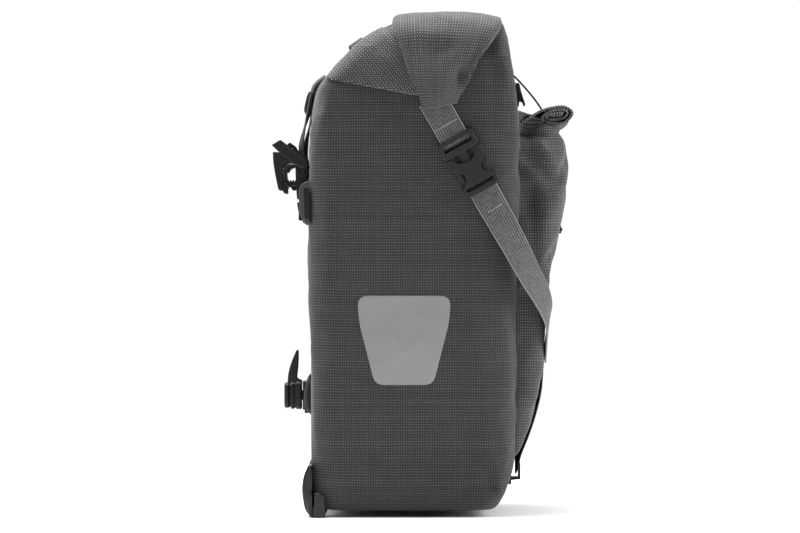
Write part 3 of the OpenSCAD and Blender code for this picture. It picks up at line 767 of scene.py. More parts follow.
def gable_fold(name, side):
    """The fabric folded over the sloping rear edge of a side panel, down to a soft lower fold."""
    behind = np.linspace(1, 0, 9)[:-1]
    ahead = np.concatenate([np.linspace(0, 0.3, 12), np.linspace(0.33, 0.97, 20), [0.985, 0.996, 1.0, 0.992]])
    columns = np.concatenate([-behind, ahead])[None, :]
    t = np.clip(columns, 0, 1)
    up, down = GABLE_TOP - GABLE_LOW, GABLE_TIP - GABLE_LOW
    rise = np.maximum(up[1] * (1 - t) + down[1] * t, 1)
    s = np.linspace(0.015, 1, 46)[:, None] * np.minimum(1.15, 43 / rise)
    flat = GABLE_LOW + s[..., None] * (up * (1 - t[..., None]) + down * t[..., None])
    x, z = BACK + flat[..., 0] * MM, flat[..., 1] * MM
    # The slope edge follows the bag's own rear line.
    edge_x, edge_z = BACK + (GABLE_LOW[0] + s * up[0]) * MM, (GABLE_LOW[1] + s * up[1]) * MM
    x = x + np.minimum(BACK + BACK_LINE(edge_z) - edge_x, 0) * (1 - t) ** 2
    away = s * np.linalg.norm(GABLE_TOP - GABLE_TIP) * t * MM
    edge_w, edge_d = 11 * MM, 14 * MM
    drop = edge_d * (1 - np.sqrt(np.clip(1 - np.clip(1 - away / edge_w, 0, 1) ** 2, 0, 1)))
    under_roll = 0.25 + 0.75 * smooth((420 * MM - z) / (30 * MM))
    lift = 1.2 * MM + 7.0 * MM * smooth(s * 1.5) * (1 - np.exp(-away / (12 * MM))) * under_roll
    lift *= 1 - 0.45 * smooth((s - 0.7) / 0.3) * (1 - t ** 2)
    lift += 0.6 * MM * ripple(np.stack([x, 0 * x + side, z], -1), 38 * MM, 31) * smooth(away / (20 * MM))
    under = np.concatenate([np.zeros(len(behind)), np.zeros(len(ahead) - 4), [0.8, 2.2, 4.2, 6.5]])[None, :] * MM
    lift = np.maximum(lift - under * smooth(s * 3), 0.2 * MM)
    y = half_width(z) - 0.8 * TUCK_LINE(z) + 1.5 * MM * smooth((405 * MM - z) / (30 * MM)) - drop + lift
    back_reach = np.clip(-columns, 0, 1) * 12 * MM
    y = y - back_reach
    slope_out = np.array([-0.65, 0.76]) * MM
    tuck = np.where(columns < 0, 0.5 + 2.2 * columns, 0)
    x, z = x + slope_out[0] * tuck, z + slope_out[1] * tuck
    points = np.stack([x, side * y, z], -1)
    edge_dir = unit(up)
    u = (x - BACK) * edge_dir[1] - z * edge_dir[0]
    v = (x - BACK) * edge_dir[0] + z * edge_dir[1]
    u = u - np.clip(-columns, 0, 1) * 12 * MM
    threads = np.stack([u, v], -1)
    if side < 0:
        points, threads = points[::-1], threads[::-1]
    # The lighter fabric copy carries painted top light.
    fold = grid_mesh("gable_fold_" + name, points, threads, FABRIC_ROLL_PAINTED_TOP_LIGHT)
    thicken(fold, 0.9 * MM)
    return place(fold, "bag", "coated_fabric")


def thicken(obj, amount):
    bpy.context.view_layer.objects.active = obj
    modifier = obj.modifiers.new("thickness", "SOLIDIFY")
    modifier.thickness = amount
    modifier.offset = -1
    bpy.ops.object.modifier_apply(modifier=modifier.name)


# ---- Roll closure and its folded ends ----

# Knots from the middle of the roll to one tip: Y, Z, centre X, width, thickness, all in millimetres.
ROLL_PATH = [(0, 423.2, 22.3, 92.5, 23), (70, 423.6, 22.3, 92.5, 23), (112, 424.6, 22.4, 93, 23),
             (134, 424.2, 22.6, 94.6, 22.5), (150.5, 420.2, 22.2, 92.5, 20.5), (160, 411, 20.6, 82, 17),
             (164.8, 398.5, 19, 69.5, 13.5), (165.6, 384, 17.4, 56, 10.5), (163.4, 368, 16.8, 42, 7.5),
             (160.2, 356.5, 16.8, 33, 5), (159, 352.6, 17, 30.4, 3.6)]
# The roll's section in half-widths and half-thicknesses, from the rear edge over the top to the front.
ROLL_SECTION = [(-1, 0), (-0.985, 0.42), (-0.93, 0.66), (-0.82, 0.79), (-0.6, 0.9), (-0.3, 0.975), (0, 1),
                (0.3, 0.965), (0.6, 0.87), (0.82, 0.72), (0.94, 0.6), (0.985, 0.5), (1.0, 0.3), (0.995, 0),
                (0.98, -0.45), (0.93, -0.66), (0.7, -0.85), (0.3, -0.95), (-0.3, -0.95), (-0.7, -0.85),
                (-0.93, -0.66), (-0.985, -0.4)]


def roll():
    """The rolled mouth of the bag, whose two ends fold down over the sides and narrow to the straps."""
    half = [(-y, z, x, w, t) for y, z, x, w, t in ROLL_PATH[:0:-1]]
    knots = np.array(half + ROLL_PATH) * MM
    rows, along = even(knots, 2.6 * MM, 2)
    yz = rows[:, :2]
    run = unit(np.gradient(yz, axis=0))
    out = np.column_stack([-run[:, 1], run[:, 0]])
    section, _ = even(ROLL_SECTION + ROLL_SECTION[:1], 0.052, 2)
    section = section[:-1]
    section = section[:len(section) - len(section) % 2]
    shape_x, shape_n = section[:, 0], section[:, 1]
    on_top = smooth((130 * MM - np.abs(yz[:, :1])) / (20 * MM))
    x = rows[:, 2:3] + shape_x[None] * rows[:, 3:4] / 2
    n = shape_n[None] * rows[:, 4:5] / 2
    # The long edges show the layers of the roll as shallow grooves.
    front, rear = np.clip(shape_x, 0, 1)[None] ** 8, np.clip(-shape_x, 0, 1)[None] ** 8
    wander = 0.08 * np.sin(along[:, None] * 30) + 0.05 * np.sin(along[:, None] * 71 + 1)
    groove = np.zeros_like(x)
    for level in (-0.4, 0.3):
        groove += np.exp(-((shape_n[None] - level - wander) / 0.1) ** 2)
    x = x - (front * 1.3 - rear * 2.6) * MM * groove * (0.35 + 0.65 * on_top)
    y = yz[:, :1] + out[:, :1] * n
    z = yz[:, 1:2] + out[:, 1:2] * n
    points = np.stack([x, y, z], -1)
    normal = grid_normals(points, wrap=True)
    if np.mean(normal[len(rows) // 2, :, 2] * shape_n) < 0:
        normal = -normal
    outside = np.clip(normal[..., 1] * np.sign(y), 0, 1)
    # The folded end swells at its upper rear corner and has a soft dent near its front edge.
    swell = np.exp(-(((x - BACK) - 92 * MM) / (30 * MM)) ** 2 - ((z - 416 * MM) / (11 * MM)) ** 2)
    hollow = np.exp(-(((x - BACK) - (112 * MM + (z - 405 * MM) * 0.5)) / (13 * MM)) ** 2
                    - ((z - 402 * MM) / (9 * MM)) ** 2)
    pinch = np.exp(-(((x - BACK) - 129 * MM) / (5 * MM)) ** 2 - ((z - 378.5 * MM) / (6 * MM)) ** 2)
    dent = np.exp(-(((x - BACK) - (137 * MM + (z - 392 * MM) * 0.45)) / (9 * MM)) ** 2
                  - ((z - 391 * MM) / (19 * MM)) ** 2)
    pull = np.exp(-(((x - BACK) - (113 * MM + (z - 372 * MM) * 0.2)) / (9 * MM)) ** 2
                  - ((z - 368 * MM) / (14 * MM)) ** 2)
    push = outside * (3.0 * MM * swell - 3.6 * MM * dent + 1.8 * MM * pull - 5.0 * MM * hollow - 5.0 * MM * pinch)
    push += 0.5 * MM * ripple(points, 42 * MM, 21) + 0.2 * MM * ripple(points, 17 * MM, 22)
    push += -1.0 * MM * np.exp(-((x - BACK - 118 * MM) / (16 * MM)) ** 2) * on_top * (0.6 + 0.4 * np.sin(y * 40))
    points = points + normal * push[..., None]
    points[..., 2] += 1.3 * MM * on_top * (0.1 - shape_x[None])
    # The tip's lower edge rises towards the front.
    tip = smooth((370 * MM - points[..., 2]) / (16 * MM))
    points[..., 2] += tip * (0.2 * (points[..., 0] - BACK - 110 * MM) + 0.6 * MM)
    v = np.cumsum(np.append(0, np.linalg.norm(np.diff(points[len(rows) // 2], axis=0), axis=1)))
    v = np.append(v, v[-1] + 2 * MM) - v[len(v) // 4]
    width = 0.55 + 0.45 * rows[:, 3:4] / rows[:, 3].max()
    threads = np.stack([along[:, None] + 0 * v[None], v[None] * width], -1)
    if np.mean(grid_normals(points, wrap=True)[len(rows) // 2, :, 2] * shape_n) < 0:
        points, threads = points[:, ::-1], threads[:, ::-1]
    # The lighter fabric copy carries painted top light.
    obj = grid_mesh("roll", points, threads, FABRIC_ROLL_PAINTED_TOP_LIGHT, wrap=True, caps=True)
    return place(obj, "bag", "coated_fabric", "roll_closure", "roll_end_left", "roll_end_right")


# ---- Buckle frames ----

def buckle_frame(name):
    """The buckle's own axes: across, up along the webbing and out of the side panel."""
    down = Vector(JOINTS["socket_%s_slide" % name]["axis"]).normalized()
    rear = Vector(JOINTS["prong_%s_rear_press" % name]["pos_m"])
    front = Vector(JOINTS["prong_%s_front_press" % name]["pos_m"])
    across = (front - rear).normalized()
    up = -down
    out = across.cross(up)
    if out.y * SIDES[name] < 0:
        out = -out
    origin = (front + rear) / 2 + down * 11.2 * MM - out * 5.2 * MM
    matrix = Matrix.Identity(4)
    for k, axis in enumerate((across, up, out)):
        for row in range(3):
            matrix[row][k] = axis[row]
    for row in range(3):
        matrix[row][3] = origin[row]
    return matrix


def in_frame(matrix, p, q, n):
    return np.array(matrix @ Vector((p * MM, q * MM, n * MM)))


def direction(matrix, p, q, n):
    return np.array(matrix.to_3x3() @ Vector((p, q, n)))


LEFT_BUCKLE = buckle_frame("left")


def pair(make, body, slot, *nodes):
    """Builds a left piece and its mirror image. Names hold {} where the side goes."""
    left = make("left")
    right = mirrored(left, left.name.replace("left", "right"))
    for name, obj in (("left", left), ("right", right)):
        place(obj, body.format(name), slot, *[node.format(name) for node in nodes])
    return left, right


# ---- Webbing ----

def upper_strap(name):
    m = LEFT_BUCKLE
    knots = [(in_frame(m, 0, 64, 4.6), direction(m, 1, 0, 0)), (in_frame(m, 0, 50, 5.2), direction(m, 1, 0, 0)),
             (in_frame(m, 0, 36, 5.8), direction(m, 1, 0, 0)), (in_frame(m, 0, 26, 6.8), direction(m, 1, 0, 0)),
             (in_frame(m, 0, 22, 6.4), direction(m, 1, 0, 0)), (in_frame(m, 0, 19.4, 4), direction(m, 1, 0, 0)),
             (in_frame(m, 0, 21, 1.6), direction(m, 1, 0, 0)), (in_frame(m, 0, 27, 1.2), direction(m, 1, 0, 0)),
             (in_frame(m, 0, 44, 1.0), direction(m, 1, 0, 0))]
    return band("upper_webbing_" + name, knots, 25 * MM, 1.5 * MM, GREY_WEBBING, 2 * MM)


def upper_stitch(name):
    m = LEFT_BUCKLE
    row = [in_frame(m, p, 38.5, 6.5) for p in (-11.4, 0, 11.4)]
    return stitches("upper_stitch_" + name, [row], THREAD, 2.4 * MM, 2 * MM, 0.3 * MM)


LOWER_KNOTS = [(-28.2, 1.0, 286), (-20, 0.4, 271.5), (-14, -0.2, 261), (-1, 0.6, 238), (13, None, 212),
               (25.5, None, 190), (30.8, None, 176), (31, None, 165), (29, None, 141)]
LOWER_Y = [None, None, None, None, 137.5, 121.5, 109, 97, 76]


def lower_knots():
    knots = []
    for i, ((x, lift, z), y) in enumerate(zip(LOWER_KNOTS, LOWER_Y)):
        centre_y = -(half_width(z * MM) + (4 + lift) * MM) if y is None else -y * MM
        share = i / (len(LOWER_KNOTS) - 1)
        wide = np.array([0.87, -0.05, 0.49]) * (1 - share) + np.array([0, 0.75, 0.66]) * share
        knots.append((np.array([FRONT + x * MM, centre_y, z * MM]), wide))
    return knots


def lower_strap(name):
    return band("lower_webbing_" + name, lower_knots(), 25 * MM, 1.5 * MM, GREY_WEBBING)


def lower_stitch(name):
    y = -half_width(267 * MM) - 5.35 * MM
    row = [np.array([FRONT + x * MM, y, z * MM]) for x, z in ((-22.6, 262.8), (-16.8, 266.2), (-11, 269.6))]
    return stitches("lower_stitch_" + name, [row], THREAD, 2.4 * MM, 2 * MM, 0.3 * MM)


def blend_lower(obj):
    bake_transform(obj)


def shoulder_strap():
    half = [(27, -78, 143.5), (25.6, -57, 116), (21, -39, 93.5), (15, -24, 74), (8.6, -11, 56)]
    knots = [(np.array([FRONT + x * MM, y * MM, z * MM]), np.array([0, 0.75, 0.66])) for x, y, z in half]
    knots.append((np.array([FRONT + 5 * MM, 0, 44.5 * MM]), np.array([0, 0, 1.0])))
    knots += [(np.array([FRONT + x * MM, -y * MM, z * MM]), np.array([0, -0.75, 0.66])) for x, y, z in half[::-1]]
    obj = band("shoulder_webbing", knots, 25 * MM, 1.5 * MM, BLACK_WEBBING)
    return place(obj, "bag", "black_webbing", "shoulder_strap")


def pocket_strap():
    line = [(0.4, 389), (6.5, 383.2), (13.5, 375.6), (21, 366.6), (27.4, 357.6), (29.6, 352.6)]
    knots = [(np.array([FRONT + x * MM, 0, z * MM]), np.array([0, 1.0, 0])) for x, z in line]
    obj = band("pocket_webbing", knots, 15 * MM, 1.0 * MM, BLACK_WEBBING)
    return place(obj, "bag", "black_webbing", "pocket_strap")


def carry_loop():
    lo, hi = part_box("carry_loop")
    knots = []
    for i in range(-6, 7):
        share = abs(i) / 6
        lift = (-2.4 + 6.2 * (1 - share ** 3)) * MM
        base = np.array([BACK + 39 * MM, hi.y * i / 6, 411.5 * MM])
        knots.append((base + np.array([-0.57, 0, 0.82]) * lift, np.array([0.82, 0, 0.57])))
    obj = band("carry_webbing", knots, 14 * MM, 1.4 * MM, BLACK_WEBBING)
    return place(obj, "bag", "black_webbing", "carry_loop")


def handle_strap(name):
    lo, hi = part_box("handle_strap_left")
    points = [(-2.2, -85, 302.2), (-6.6, -84.5, 310), (-9.4, -82.5, 320), (-7.4, -77, 335), (-3.8, -67, 350),
              (-1.8, -53, 360.5), (-1.8, -22, 361)]
    wides = [(0, 1, 0), (-0.05, 1, -0.05), (-0.3, 1, -0.1), (-0.2, 1, -0.35), (0, 1, -0.9), (0, 0.2, -1), (0, 0, -1)]
    knots = [(np.array([BACK + x * MM, y * MM, z * MM]), np.array(w, float)) for (x, y, z), w in zip(points, wides)]
    return band("handle_webbing_" + name, knots, 14 * MM, 1.4 * MM, BLACK_WEBBING, 2 * MM)


# ---- Side-release buckles ----

PLUG_OUTLINE = [(-16.5, 11.4), (16.5, 11.4), (16.5, 27), (-16.5, 27)]
PRONG_OUTLINE = [(-8.4, 12.6), (-12.4, 12.6), (-12.5, 4), (-13, 0), (-14.3, -4), (-14.4, -9), (-12.8, -12.8),
                 (-10.6, -14.7), (-9, -13.6), (-9.2, -9), (-9.6, -4), (-9, 2)]
SOCKET_HALF = [(16.5, 10.9, 1.5), (16.5, 2.5, 3), (12.5, -1, 3), (9, -4.5, 3), (8, -8, 3), (9, -11.5, 3),
               (12.8, -14.4, 3), (16.2, -16.8, 2), (16.2, -23.4, 2), (13, -26, 2)]


def plug(name):
    slot_hole = rounded([(-13, 17), (13, 17), (13, 22.4), (-13, 22.4)], 1)
    base = plate("plug_base", [rounded(PLUG_OUTLINE, 2.6), slot_hole], 1.0, 9.4, 0.8, LEFT_BUCKLE, BLACK_PLASTIC)
    tongue = plate("plug_tongue", [rounded([(-4.2, -8), (4.2, -8), (4.2, 13), (-4.2, 13)], 1.2)], 3.8, 6.6, 0.5,
                   LEFT_BUCKLE, BLACK_PLASTIC)
    return joined("plug_" + name, base, tongue)


def prong(end):
    sign = 1 if end == "rear" else -1

    def make(name):
        outline = rounded([(sign * p, q) for p, q in PRONG_OUTLINE][::sign], 1.4)
        return plate("arm_%s_%s" % (name, end), [outline], 3.2, 7.2, 0.6, LEFT_BUCKLE, BLACK_PLASTIC)
    return make


def socket(name):
    whole = SOCKET_HALF + [(-p, q, r) for p, q, r in SOCKET_HALF[::-1]]
    slot_hole = rounded([(-13, -21.8), (13, -21.8), (13, -18.2), (-13, -18.2)], 0.8)
    top_edge = [(11.5, 10.9, 0.6), (9.4, 6, 3), (5, 2.9, 4), (0, 2, 4), (-5, 2.9, 4), (-9.4, 6, 3), (-11.5, 10.9, 0.6)]
    notched = SOCKET_HALF + [(-p, q, r) for p, q, r in SOCKET_HALF[::-1]] + top_edge[::-1]
    front = plate("socket_front", [rounded(notched, 1), slot_hole], 7.2, 9.6, 0.7, LEFT_BUCKLE, BUCKLE_PLASTIC)
    back = plate("socket_back", [rounded(whole, 1), slot_hole], 1.0, 3.2, 0.6, LEFT_BUCKLE, BUCKLE_PLASTIC)
    walls = []
    for sign in (-1, 1):
        wall = [(sign * 14.8, 10.6), (sign * 16.4, 10.6), (sign * 16.4, 2.6), (sign * 14.8, 2.2)]
        walls.append(plate("wall", [rounded(wall[::sign], 0.4)], 2.6, 7.8, 0.2, LEFT_BUCKLE, BUCKLE_PLASTIC))
    for q0, q1 in ((-26, -22), (-18, -15.6)):
        block = [(-15.6, q0 + 0.4), (15.6, q0 + 0.4), (15.6, q1), (-15.6, q1)]
        walls.append(plate("wall", [rounded(block, 0.6)], 2.6, 7.8, 0.2, LEFT_BUCKLE, BUCKLE_PLASTIC))
    return joined("socket_" + name, front, back, *walls)


# ---- Outer pocket ----

POCKET_LINE = profile([(50, 0), (52, 2), (56, 6), (74, 13), (93.5, 19), (116, 23.4), (143.5, 26.4), (165, 28.8),
                       (185, 31), (211, 34), (245, 38), (261, 41), (276, 43.2), (286, 45.2), (295, 45.4), (305, 44.4),
                       (314, 42.8), (321, 40.8), (326, 39.4), (329.5, 38.6), (333, 38.2), (338, 39.6), (342, 38),
                       (346, 32), (349, 22), (350, 15), (351, 6)])


def outer_pocket():
    low, high = 50.5 * MM, 350.9 * MM
    heights = np.concatenate([np.linspace(low, 80 * MM, 12), np.arange(84 * MM, 316 * MM, 4 * MM),
                              np.linspace(318 * MM, high, 24)])
    side_n, corner_n, face_n = 14, 9, 44
    rows, threads = [], []
    for z in heights:
        half = POCKET_LO.y * -1 - 30 * MM * (1 - (z - low) / (POCKET_HI.z - low))
        half = half - 4 * MM * smooth((z - 330 * MM) / (14 * MM))
        xf = FRONT + POCKET_LINE(z)
        xb = FRONT - 6 * MM
        r = min(15 * MM, 0.55 * (xf - xb))
        quarter = np.linspace(0, math.pi / 2, corner_n, endpoint=False)
        x_side = np.linspace(xb, xf - r, side_n, endpoint=False)
        x = np.concatenate([x_side, xf - r + r * np.sin(quarter), np.full(face_n, xf)])
        y = np.concatenate([np.full(side_n, -half), -(half - r) - r * np.cos(quarter),
                            -(half - r) * (1 - np.linspace(0, 1, face_n))])
        arc = np.concatenate([x_side, xf - r + r * quarter,
                              xf - r + r * math.pi / 2 + (half - r) * np.linspace(0, 1, face_n)])
        row = np.column_stack([x, y, np.full(len(x), z)])
        rows.append(np.vstack([row, row[-2::-1] * [1, -1, 1]]))
        full = np.concatenate([arc, 2 * arc[-1] - arc[-2::-1]])
        threads.append(np.column_stack([full, np.full(len(full), z)]))
    points, threads = np.array(rows), np.array(threads)
    x, y, z = points[..., 0], points[..., 1], points[..., 2]
    normal = grid_normals(points)
    if np.mean(normal[20, 30:60, 0]) < 0:
        normal = -normal
    sideways = np.clip(np.abs(normal[..., 1]), 0, 1) ** 1.5
    away = smooth((x - FRONT) / (14 * MM)) * smooth((z - low) / (20 * MM))
    push = away * (1.6 * MM * ripple(points, 85 * MM, 41) + 0.8 * MM * ripple(points, 32 * MM, 42))
    folds = [((2, 314), (27, 284), 4.0, 6.0), ((24, 322), (38, 298), 3.6, 4.6), ((15, 316), (32, 290), 3.6, -4.5),
             ((6, 300), (24, 276), 4.6, -3.0), ((15, 282), (20, 228), 5.4, -5.0), ((5, 331), (38, 326), 2.4, -3.4),
             ((5, 262), (10, 180), 6, 2.2), ((28, 268), (25, 190), 6, 2.6), ((13, 334), (19, 346), 8, -10.0),
             ((4, 346), (5, 334), 3.5, 4.0)]
    folds = [((a + FRONT / MM, b), (c + FRONT / MM, d), w, e) for (a, b), (c, d), w, e in folds]
    for start, end, width, depth in folds:
        push += depth * MM * crease(x, z, start, end, width) * sideways
    # A crease where the neck leaves the pocket, and slack folds down the front.
    push -= 1.0 * MM * np.exp(-((z - 331 * MM - 2 * MM * np.sin(y * 55)) / (2.6 * MM)) ** 2)
    for k, place_y in enumerate((-88, -52, -9, 33, 71, 99)):
        lean = (-0.18, 0.12, -0.05, 0.1, -0.12, 0.2)[k]
        centre = place_y * MM + lean * (z - 280 * MM)
        fade = smooth((z - 205 * MM) / (70 * MM)) * smooth((334 * MM - z) / (14 * MM))
        push += (1 - sideways) * (1.8 - 0.25 * k % 2) * MM * np.exp(-((y - centre) / (9 * MM)) ** 2) * fade
    points = points + normal * (push * smooth((x - FRONT + 2 * MM) / (5 * MM)))[..., None]
    obj = grid_mesh("pocket_body", points, threads, FABRIC_POCKET)
    hold = np.maximum(smooth((FRONT + 9 * MM - x) / (6 * MM)), smooth((z - 322 * MM) / (8 * MM)))
    hold = np.maximum(hold, smooth((75 * MM - z) / (15 * MM)))
    hold = np.maximum(hold, 0.75 * smooth((210 * MM - z) / (30 * MM)))
    drape(obj, hold.ravel(), pressure=1.0, growth=0.03, cap=2.2 * MM)
    subdivide(obj, 1)
    thicken(obj, 1.0 * MM)
    return place(obj, "bag", "coated_fabric", "outer_pocket")


def pocket_roll():
    """The pocket's mouth rolled up: a flat spiral swept along Y, its tail running back to the bag."""
    lo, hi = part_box("pocket_roll")
    turns = [(-26, -1.5), (-19, 1.4), (-12, 4.6), (-4, 7.4), (5, 8.4), (14, 7.0), (20.4, 1.4), (17.6, -4.2), (9, -8.2),
             (-1, -6.6), (-7.2, -1.6), (-3.5, 3.4), (4, 5.6), (12.6, 4.4), (16.4, 0.9), (11.6, -3.6), (2, -4.2),
             (-3.8, -0.9), (1, 2.6), (11.4, 1.9), (10, -0.8), (1, -0.6)]
    centre = np.array([FRONT + 31 * MM, 345.4 * MM])
    tilt = math.radians(9)
    turn = np.array([[math.cos(tilt), math.sin(tilt)], [-math.sin(tilt), math.cos(tilt)]])
    spiral, along = even(np.array(turns) * MM @ turn + centre, 1.4 * MM, 2)
    side = np.gradient(spiral, axis=0)
    side = unit(np.column_stack([-side[:, 1], side[:, 0]]))
    length = hi.y - 1 * MM
    ys = np.concatenate([[-length], np.linspace(-length + 1 * MM, length - 1 * MM, 110), [length]])
    rows, threads = [], []
    for y in ys:
        here = np.column_stack([spiral[:, 0], np.full(len(spiral), y), spiral[:, 1]])
        wave = ripple(here, 46 * MM, 51) * 0.8 * MM + ripple(here, 15 * MM, 52) * 0.25 * MM
        droop = -1.6 * MM * math.cos(y / length * math.pi / 2) + 0.9 * MM * math.sin(y * 31)
        here = here + np.column_stack([side[:, 0], 0 * along, side[:, 1]]) * wave[:, None]
        here[:, 2] += droop
        rows.append(here)
        threads.append(np.column_stack([np.full(len(along), y), along]))
    obj = grid_mesh("pocket_mouth_roll", np.array(rows), np.array(threads), FABRIC_POCKET)
    thicken(obj, 2.0 * MM)
    return place(obj, "bag", "coated_fabric", "pocket_roll")


def back_tab():
    """A padded tab folded over the handle."""
    lo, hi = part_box("back_tab")
    line = [(11.6, 384), (6.8, 380.4), (3.0, 377), (0.9, 373), (0.5, 368)]
    knots = [(np.array([BACK + x * MM, 0, z * MM]), np.array([0, 1.0, 0])) for x, z in line]
    obj = band("tab_webbing", knots, hi.y - lo.y, 6.4 * MM, TAB_WEBBING, 1.5 * MM)
    return place(obj, "bag", "grey_webbing", "back_tab")


def handle_grip():
    lo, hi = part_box("handle_grip")
    centre = (lo + hi) / 2
    around = np.linspace(0, 2 * math.pi, 40, endpoint=False)
    ys = np.concatenate([[lo.y], np.linspace(lo.y + 0.6 * MM, hi.y - 0.6 * MM, 60), [hi.y]])
    rows = []
    for y in ys:
        end = min(y - lo.y, hi.y - y)
        shrink = 1 - 0.12 * (1 - smooth(end / (1.2 * MM)))
        rib = 1 + 0.03 * math.cos(y * 2 * math.pi / (4 * MM)) * smooth((end - 8 * MM) / (3 * MM))
        a = np.sign(np.cos(around)) * np.abs(np.cos(around)) ** 0.62 * 3.5 * MM * shrink * rib
        b = np.sign(np.sin(around)) * np.abs(np.sin(around)) ** 0.62 * 10 * MM * shrink * rib
        rows.append(np.column_stack([centre.x + 1.2 * MM + a + 0.23 * b, np.full(40, y), centre.z + b - 0.23 * a]))
    points = np.array(rows)[:, ::-1]
    threads = np.concatenate([points[..., [1, 2]], points[:, :1, [1, 2]]], 1)
    obj = grid_mesh("grip_sleeve", points, threads, BLACK_PLASTIC, wrap=True, caps=True)
    return place(obj, "handle", "black_plastic", "handle_grip")


# ---- Rack fittings ----

# Plates drawn in X and Z that stand out towards the left, and plates drawn in -Y and Z that stand out to the rear.
LEFT_PLANE = Matrix(((1, 0, 0, 0), (0, 0, -1, 0), (0, 1, 0, 0), (0, 0, 0, 1)))
REAR_PLANE = Matrix(((0, 0, -1, 0), (-1, 0, 0, 0), (0, 1, 0, 0), (0, 0, 0, 1)))
# Plates drawn in Y and Z that stand out to the front.
FRONT_PLANE = Matrix(((0, 0, 1, 0), (1, 0, 0, 0), (0, 1, 0, 0), (0, 0, 0, 1)))
SEAT = (-18.2, 300.0)
PIVOT = (-7.6, 298.6)


def circle(centre, radius, count=28, start=0, end=360, closed=True):
    angles = np.radians(np.linspace(start, end, count, endpoint=not closed))
    return [(centre[0] + radius * math.cos(a), centre[1] + radius * math.sin(a)) for a in angles]


def from_back(points):
    """Outline points whose first number is measured from the back panel."""
    return [(p[0] + BACK / MM,) + tuple(p[1:]) for p in points]


def side_plate(name, outlines, low, high, bevel, middle, material):
    """A plate in the XZ plane, from low to high to the left of Y = middle."""
    matrix = Matrix.Translation((0, middle, 0)) @ LEFT_PLANE
    return plate(name, [from_back(o) for o in outlines], low, high, bevel, matrix, material)


HOOK_OUTLINE = [(-11, 256.5, 1), (-7.4, 256.5, 1), (-7.2, 281.8, 0.6), (-3.4, 281.8, 0.6), (-3.4, 308, 1.5),
                (-22, 321, 1.5), (-27.4, 315.6, 0.8), (-33.8, 316.2, 1.2), (-33.4, 307, 3), (-31.8, 297, 3),
                (-30.2, 289, 3), (-28.8, 282.6, 1.8), (-24.8, 282.4, 1.8), (-25.2, 288, 1.5)]


def hook(name):
    lo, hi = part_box("hook_left")
    middle, half = (lo.y + hi.y) / 2, (hi.y - lo.y) / 2 / MM
    seat = circle(SEAT, 7.6, 22, 190, 0, closed=False)
    outline = rounded(HOOK_OUTLINE, 1) + seat
    slotted = [p for p in outline if not (p[0] > -11.9 and 279.5 < p[1] < 306)]
    slotted = slotted[:]
    cheek = (7.3, half)
    pieces = [side_plate("cheek", [outline], cheek[0], cheek[1], 0.7, middle, BLACK_PLASTIC),
              side_plate("cheek", [outline], -cheek[1], -cheek[0], 0.7, middle, BLACK_PLASTIC)]
    arm = [(-33.6, 316), (-27.4, 315.8), (-22, 321), (-12.2, 314.6), (-12.2, 306.4), (-14, 306.4)]
    arm += circle(SEAT, 7.7, 12, 70, 190, closed=False) + [(-25.6, 288), (-28.6, 283.2), (-31.6, 298)]
    pieces.append(side_plate("web", [rounded(arm[:6], 0.6) + arm[6:]], -7.5, 7.5, 0.3, middle, BLACK_PLASTIC))
    stem = [(-11, 256.5), (-7.4, 256.5), (-7.4, 279), (-11, 279)]
    pieces.append(side_plate("stem", [rounded(stem, 0.8)], -half, half, 0.6, middle, BLACK_PLASTIC))
    bar = [(-34.8, 321.9, 0.8), (-27.2, 326.6, 1.2), (-3.2, 309, 1.4), (-3.2, 301.8, 1.4), (-10.4, 302.2, 3),
           (-28.4, 315.8, 0.8)]
    ridge = [(-25.5, 322.4, 0.5), (-24.6, 323.5, 0.5), (-5.6, 309.4, 0.5), (-6.4, 308.3, 0.5)]
    knob = [(-21.8, 322.2, 1.2), (-19.4, 324.8, 1.4), (-13.4, 320.4, 1.2), (-12.2, 316.6, 1)]
    foot = [(-14.2, 303, 2), (-10.2, 304, 1), (-10.4, 275, 1), (-12.8, 275, 1), (-13.8, 290, 3)]
    shin = [(-12.8, 272.4, 0.8), (-11.2, 272.4, 0.8), (-9.8, 264, 5), (-5.6, 256.2, 5), (-2.4, 253.8, 0.8),
            (-3, 252.2, 0.8), (-7, 253.8, 5), (-11.6, 262.6, 5)]
    for sign in (-1, 1):
        near, far = half - 0.6, half + 1.3
        span = (near, far) if sign > 0 else (-far, -near)
        pieces.append(side_plate("bar", [rounded(bar, 1)], *span, 0.6, middle, BLACK_PLASTIC))
        span = (far - 0.4, far + 0.5) if sign > 0 else (-far - 0.5, -far + 0.4)
        pieces.append(side_plate("ridge", [rounded(ridge, 0.5)], *span, 0.3, middle, BLACK_PLASTIC))
        pieces.append(side_plate("boss", [circle(PIVOT, 4.4), circle(PIVOT, 3.1)[::-1]], *span, 0.35, middle,
                                 BUCKLE_PLASTIC))
        pieces.append(side_plate("boss", [circle(PIVOT, 2.2)], *span, 0.35, middle, BLACK_PLASTIC))
        span = (half - 0.4, half + 0.7) if sign > 0 else (-half - 0.7, -half + 0.4)
        rim = circle(SEAT, 9.1, 24, 8, 196, closed=False) + circle(SEAT, 7.7, 24, 196, 8, closed=False)
        pieces.append(side_plate("rim", [rim], *span, 0.3, middle, BUCKLE_PLASTIC))
    pieces.append(side_plate("knob", [rounded(knob, 1)], -5, 5, 0.8, middle, BLACK_PLASTIC))
    pieces.append(side_plate("foot", [rounded(foot, 0.8)], 7.4, half, 0.5, middle, BLACK_PLASTIC))
    pieces.append(side_plate("foot", [rounded(foot, 0.8)], -half, -7.4, 0.5, middle, BLACK_PLASTIC))
    pieces.append(side_plate("shin", [rounded(shin, 0.8)], -half + 2, half - 2, 0.5, middle, BLACK_PLASTIC))
    return joined("hook_" + name + "_shell", *pieces)


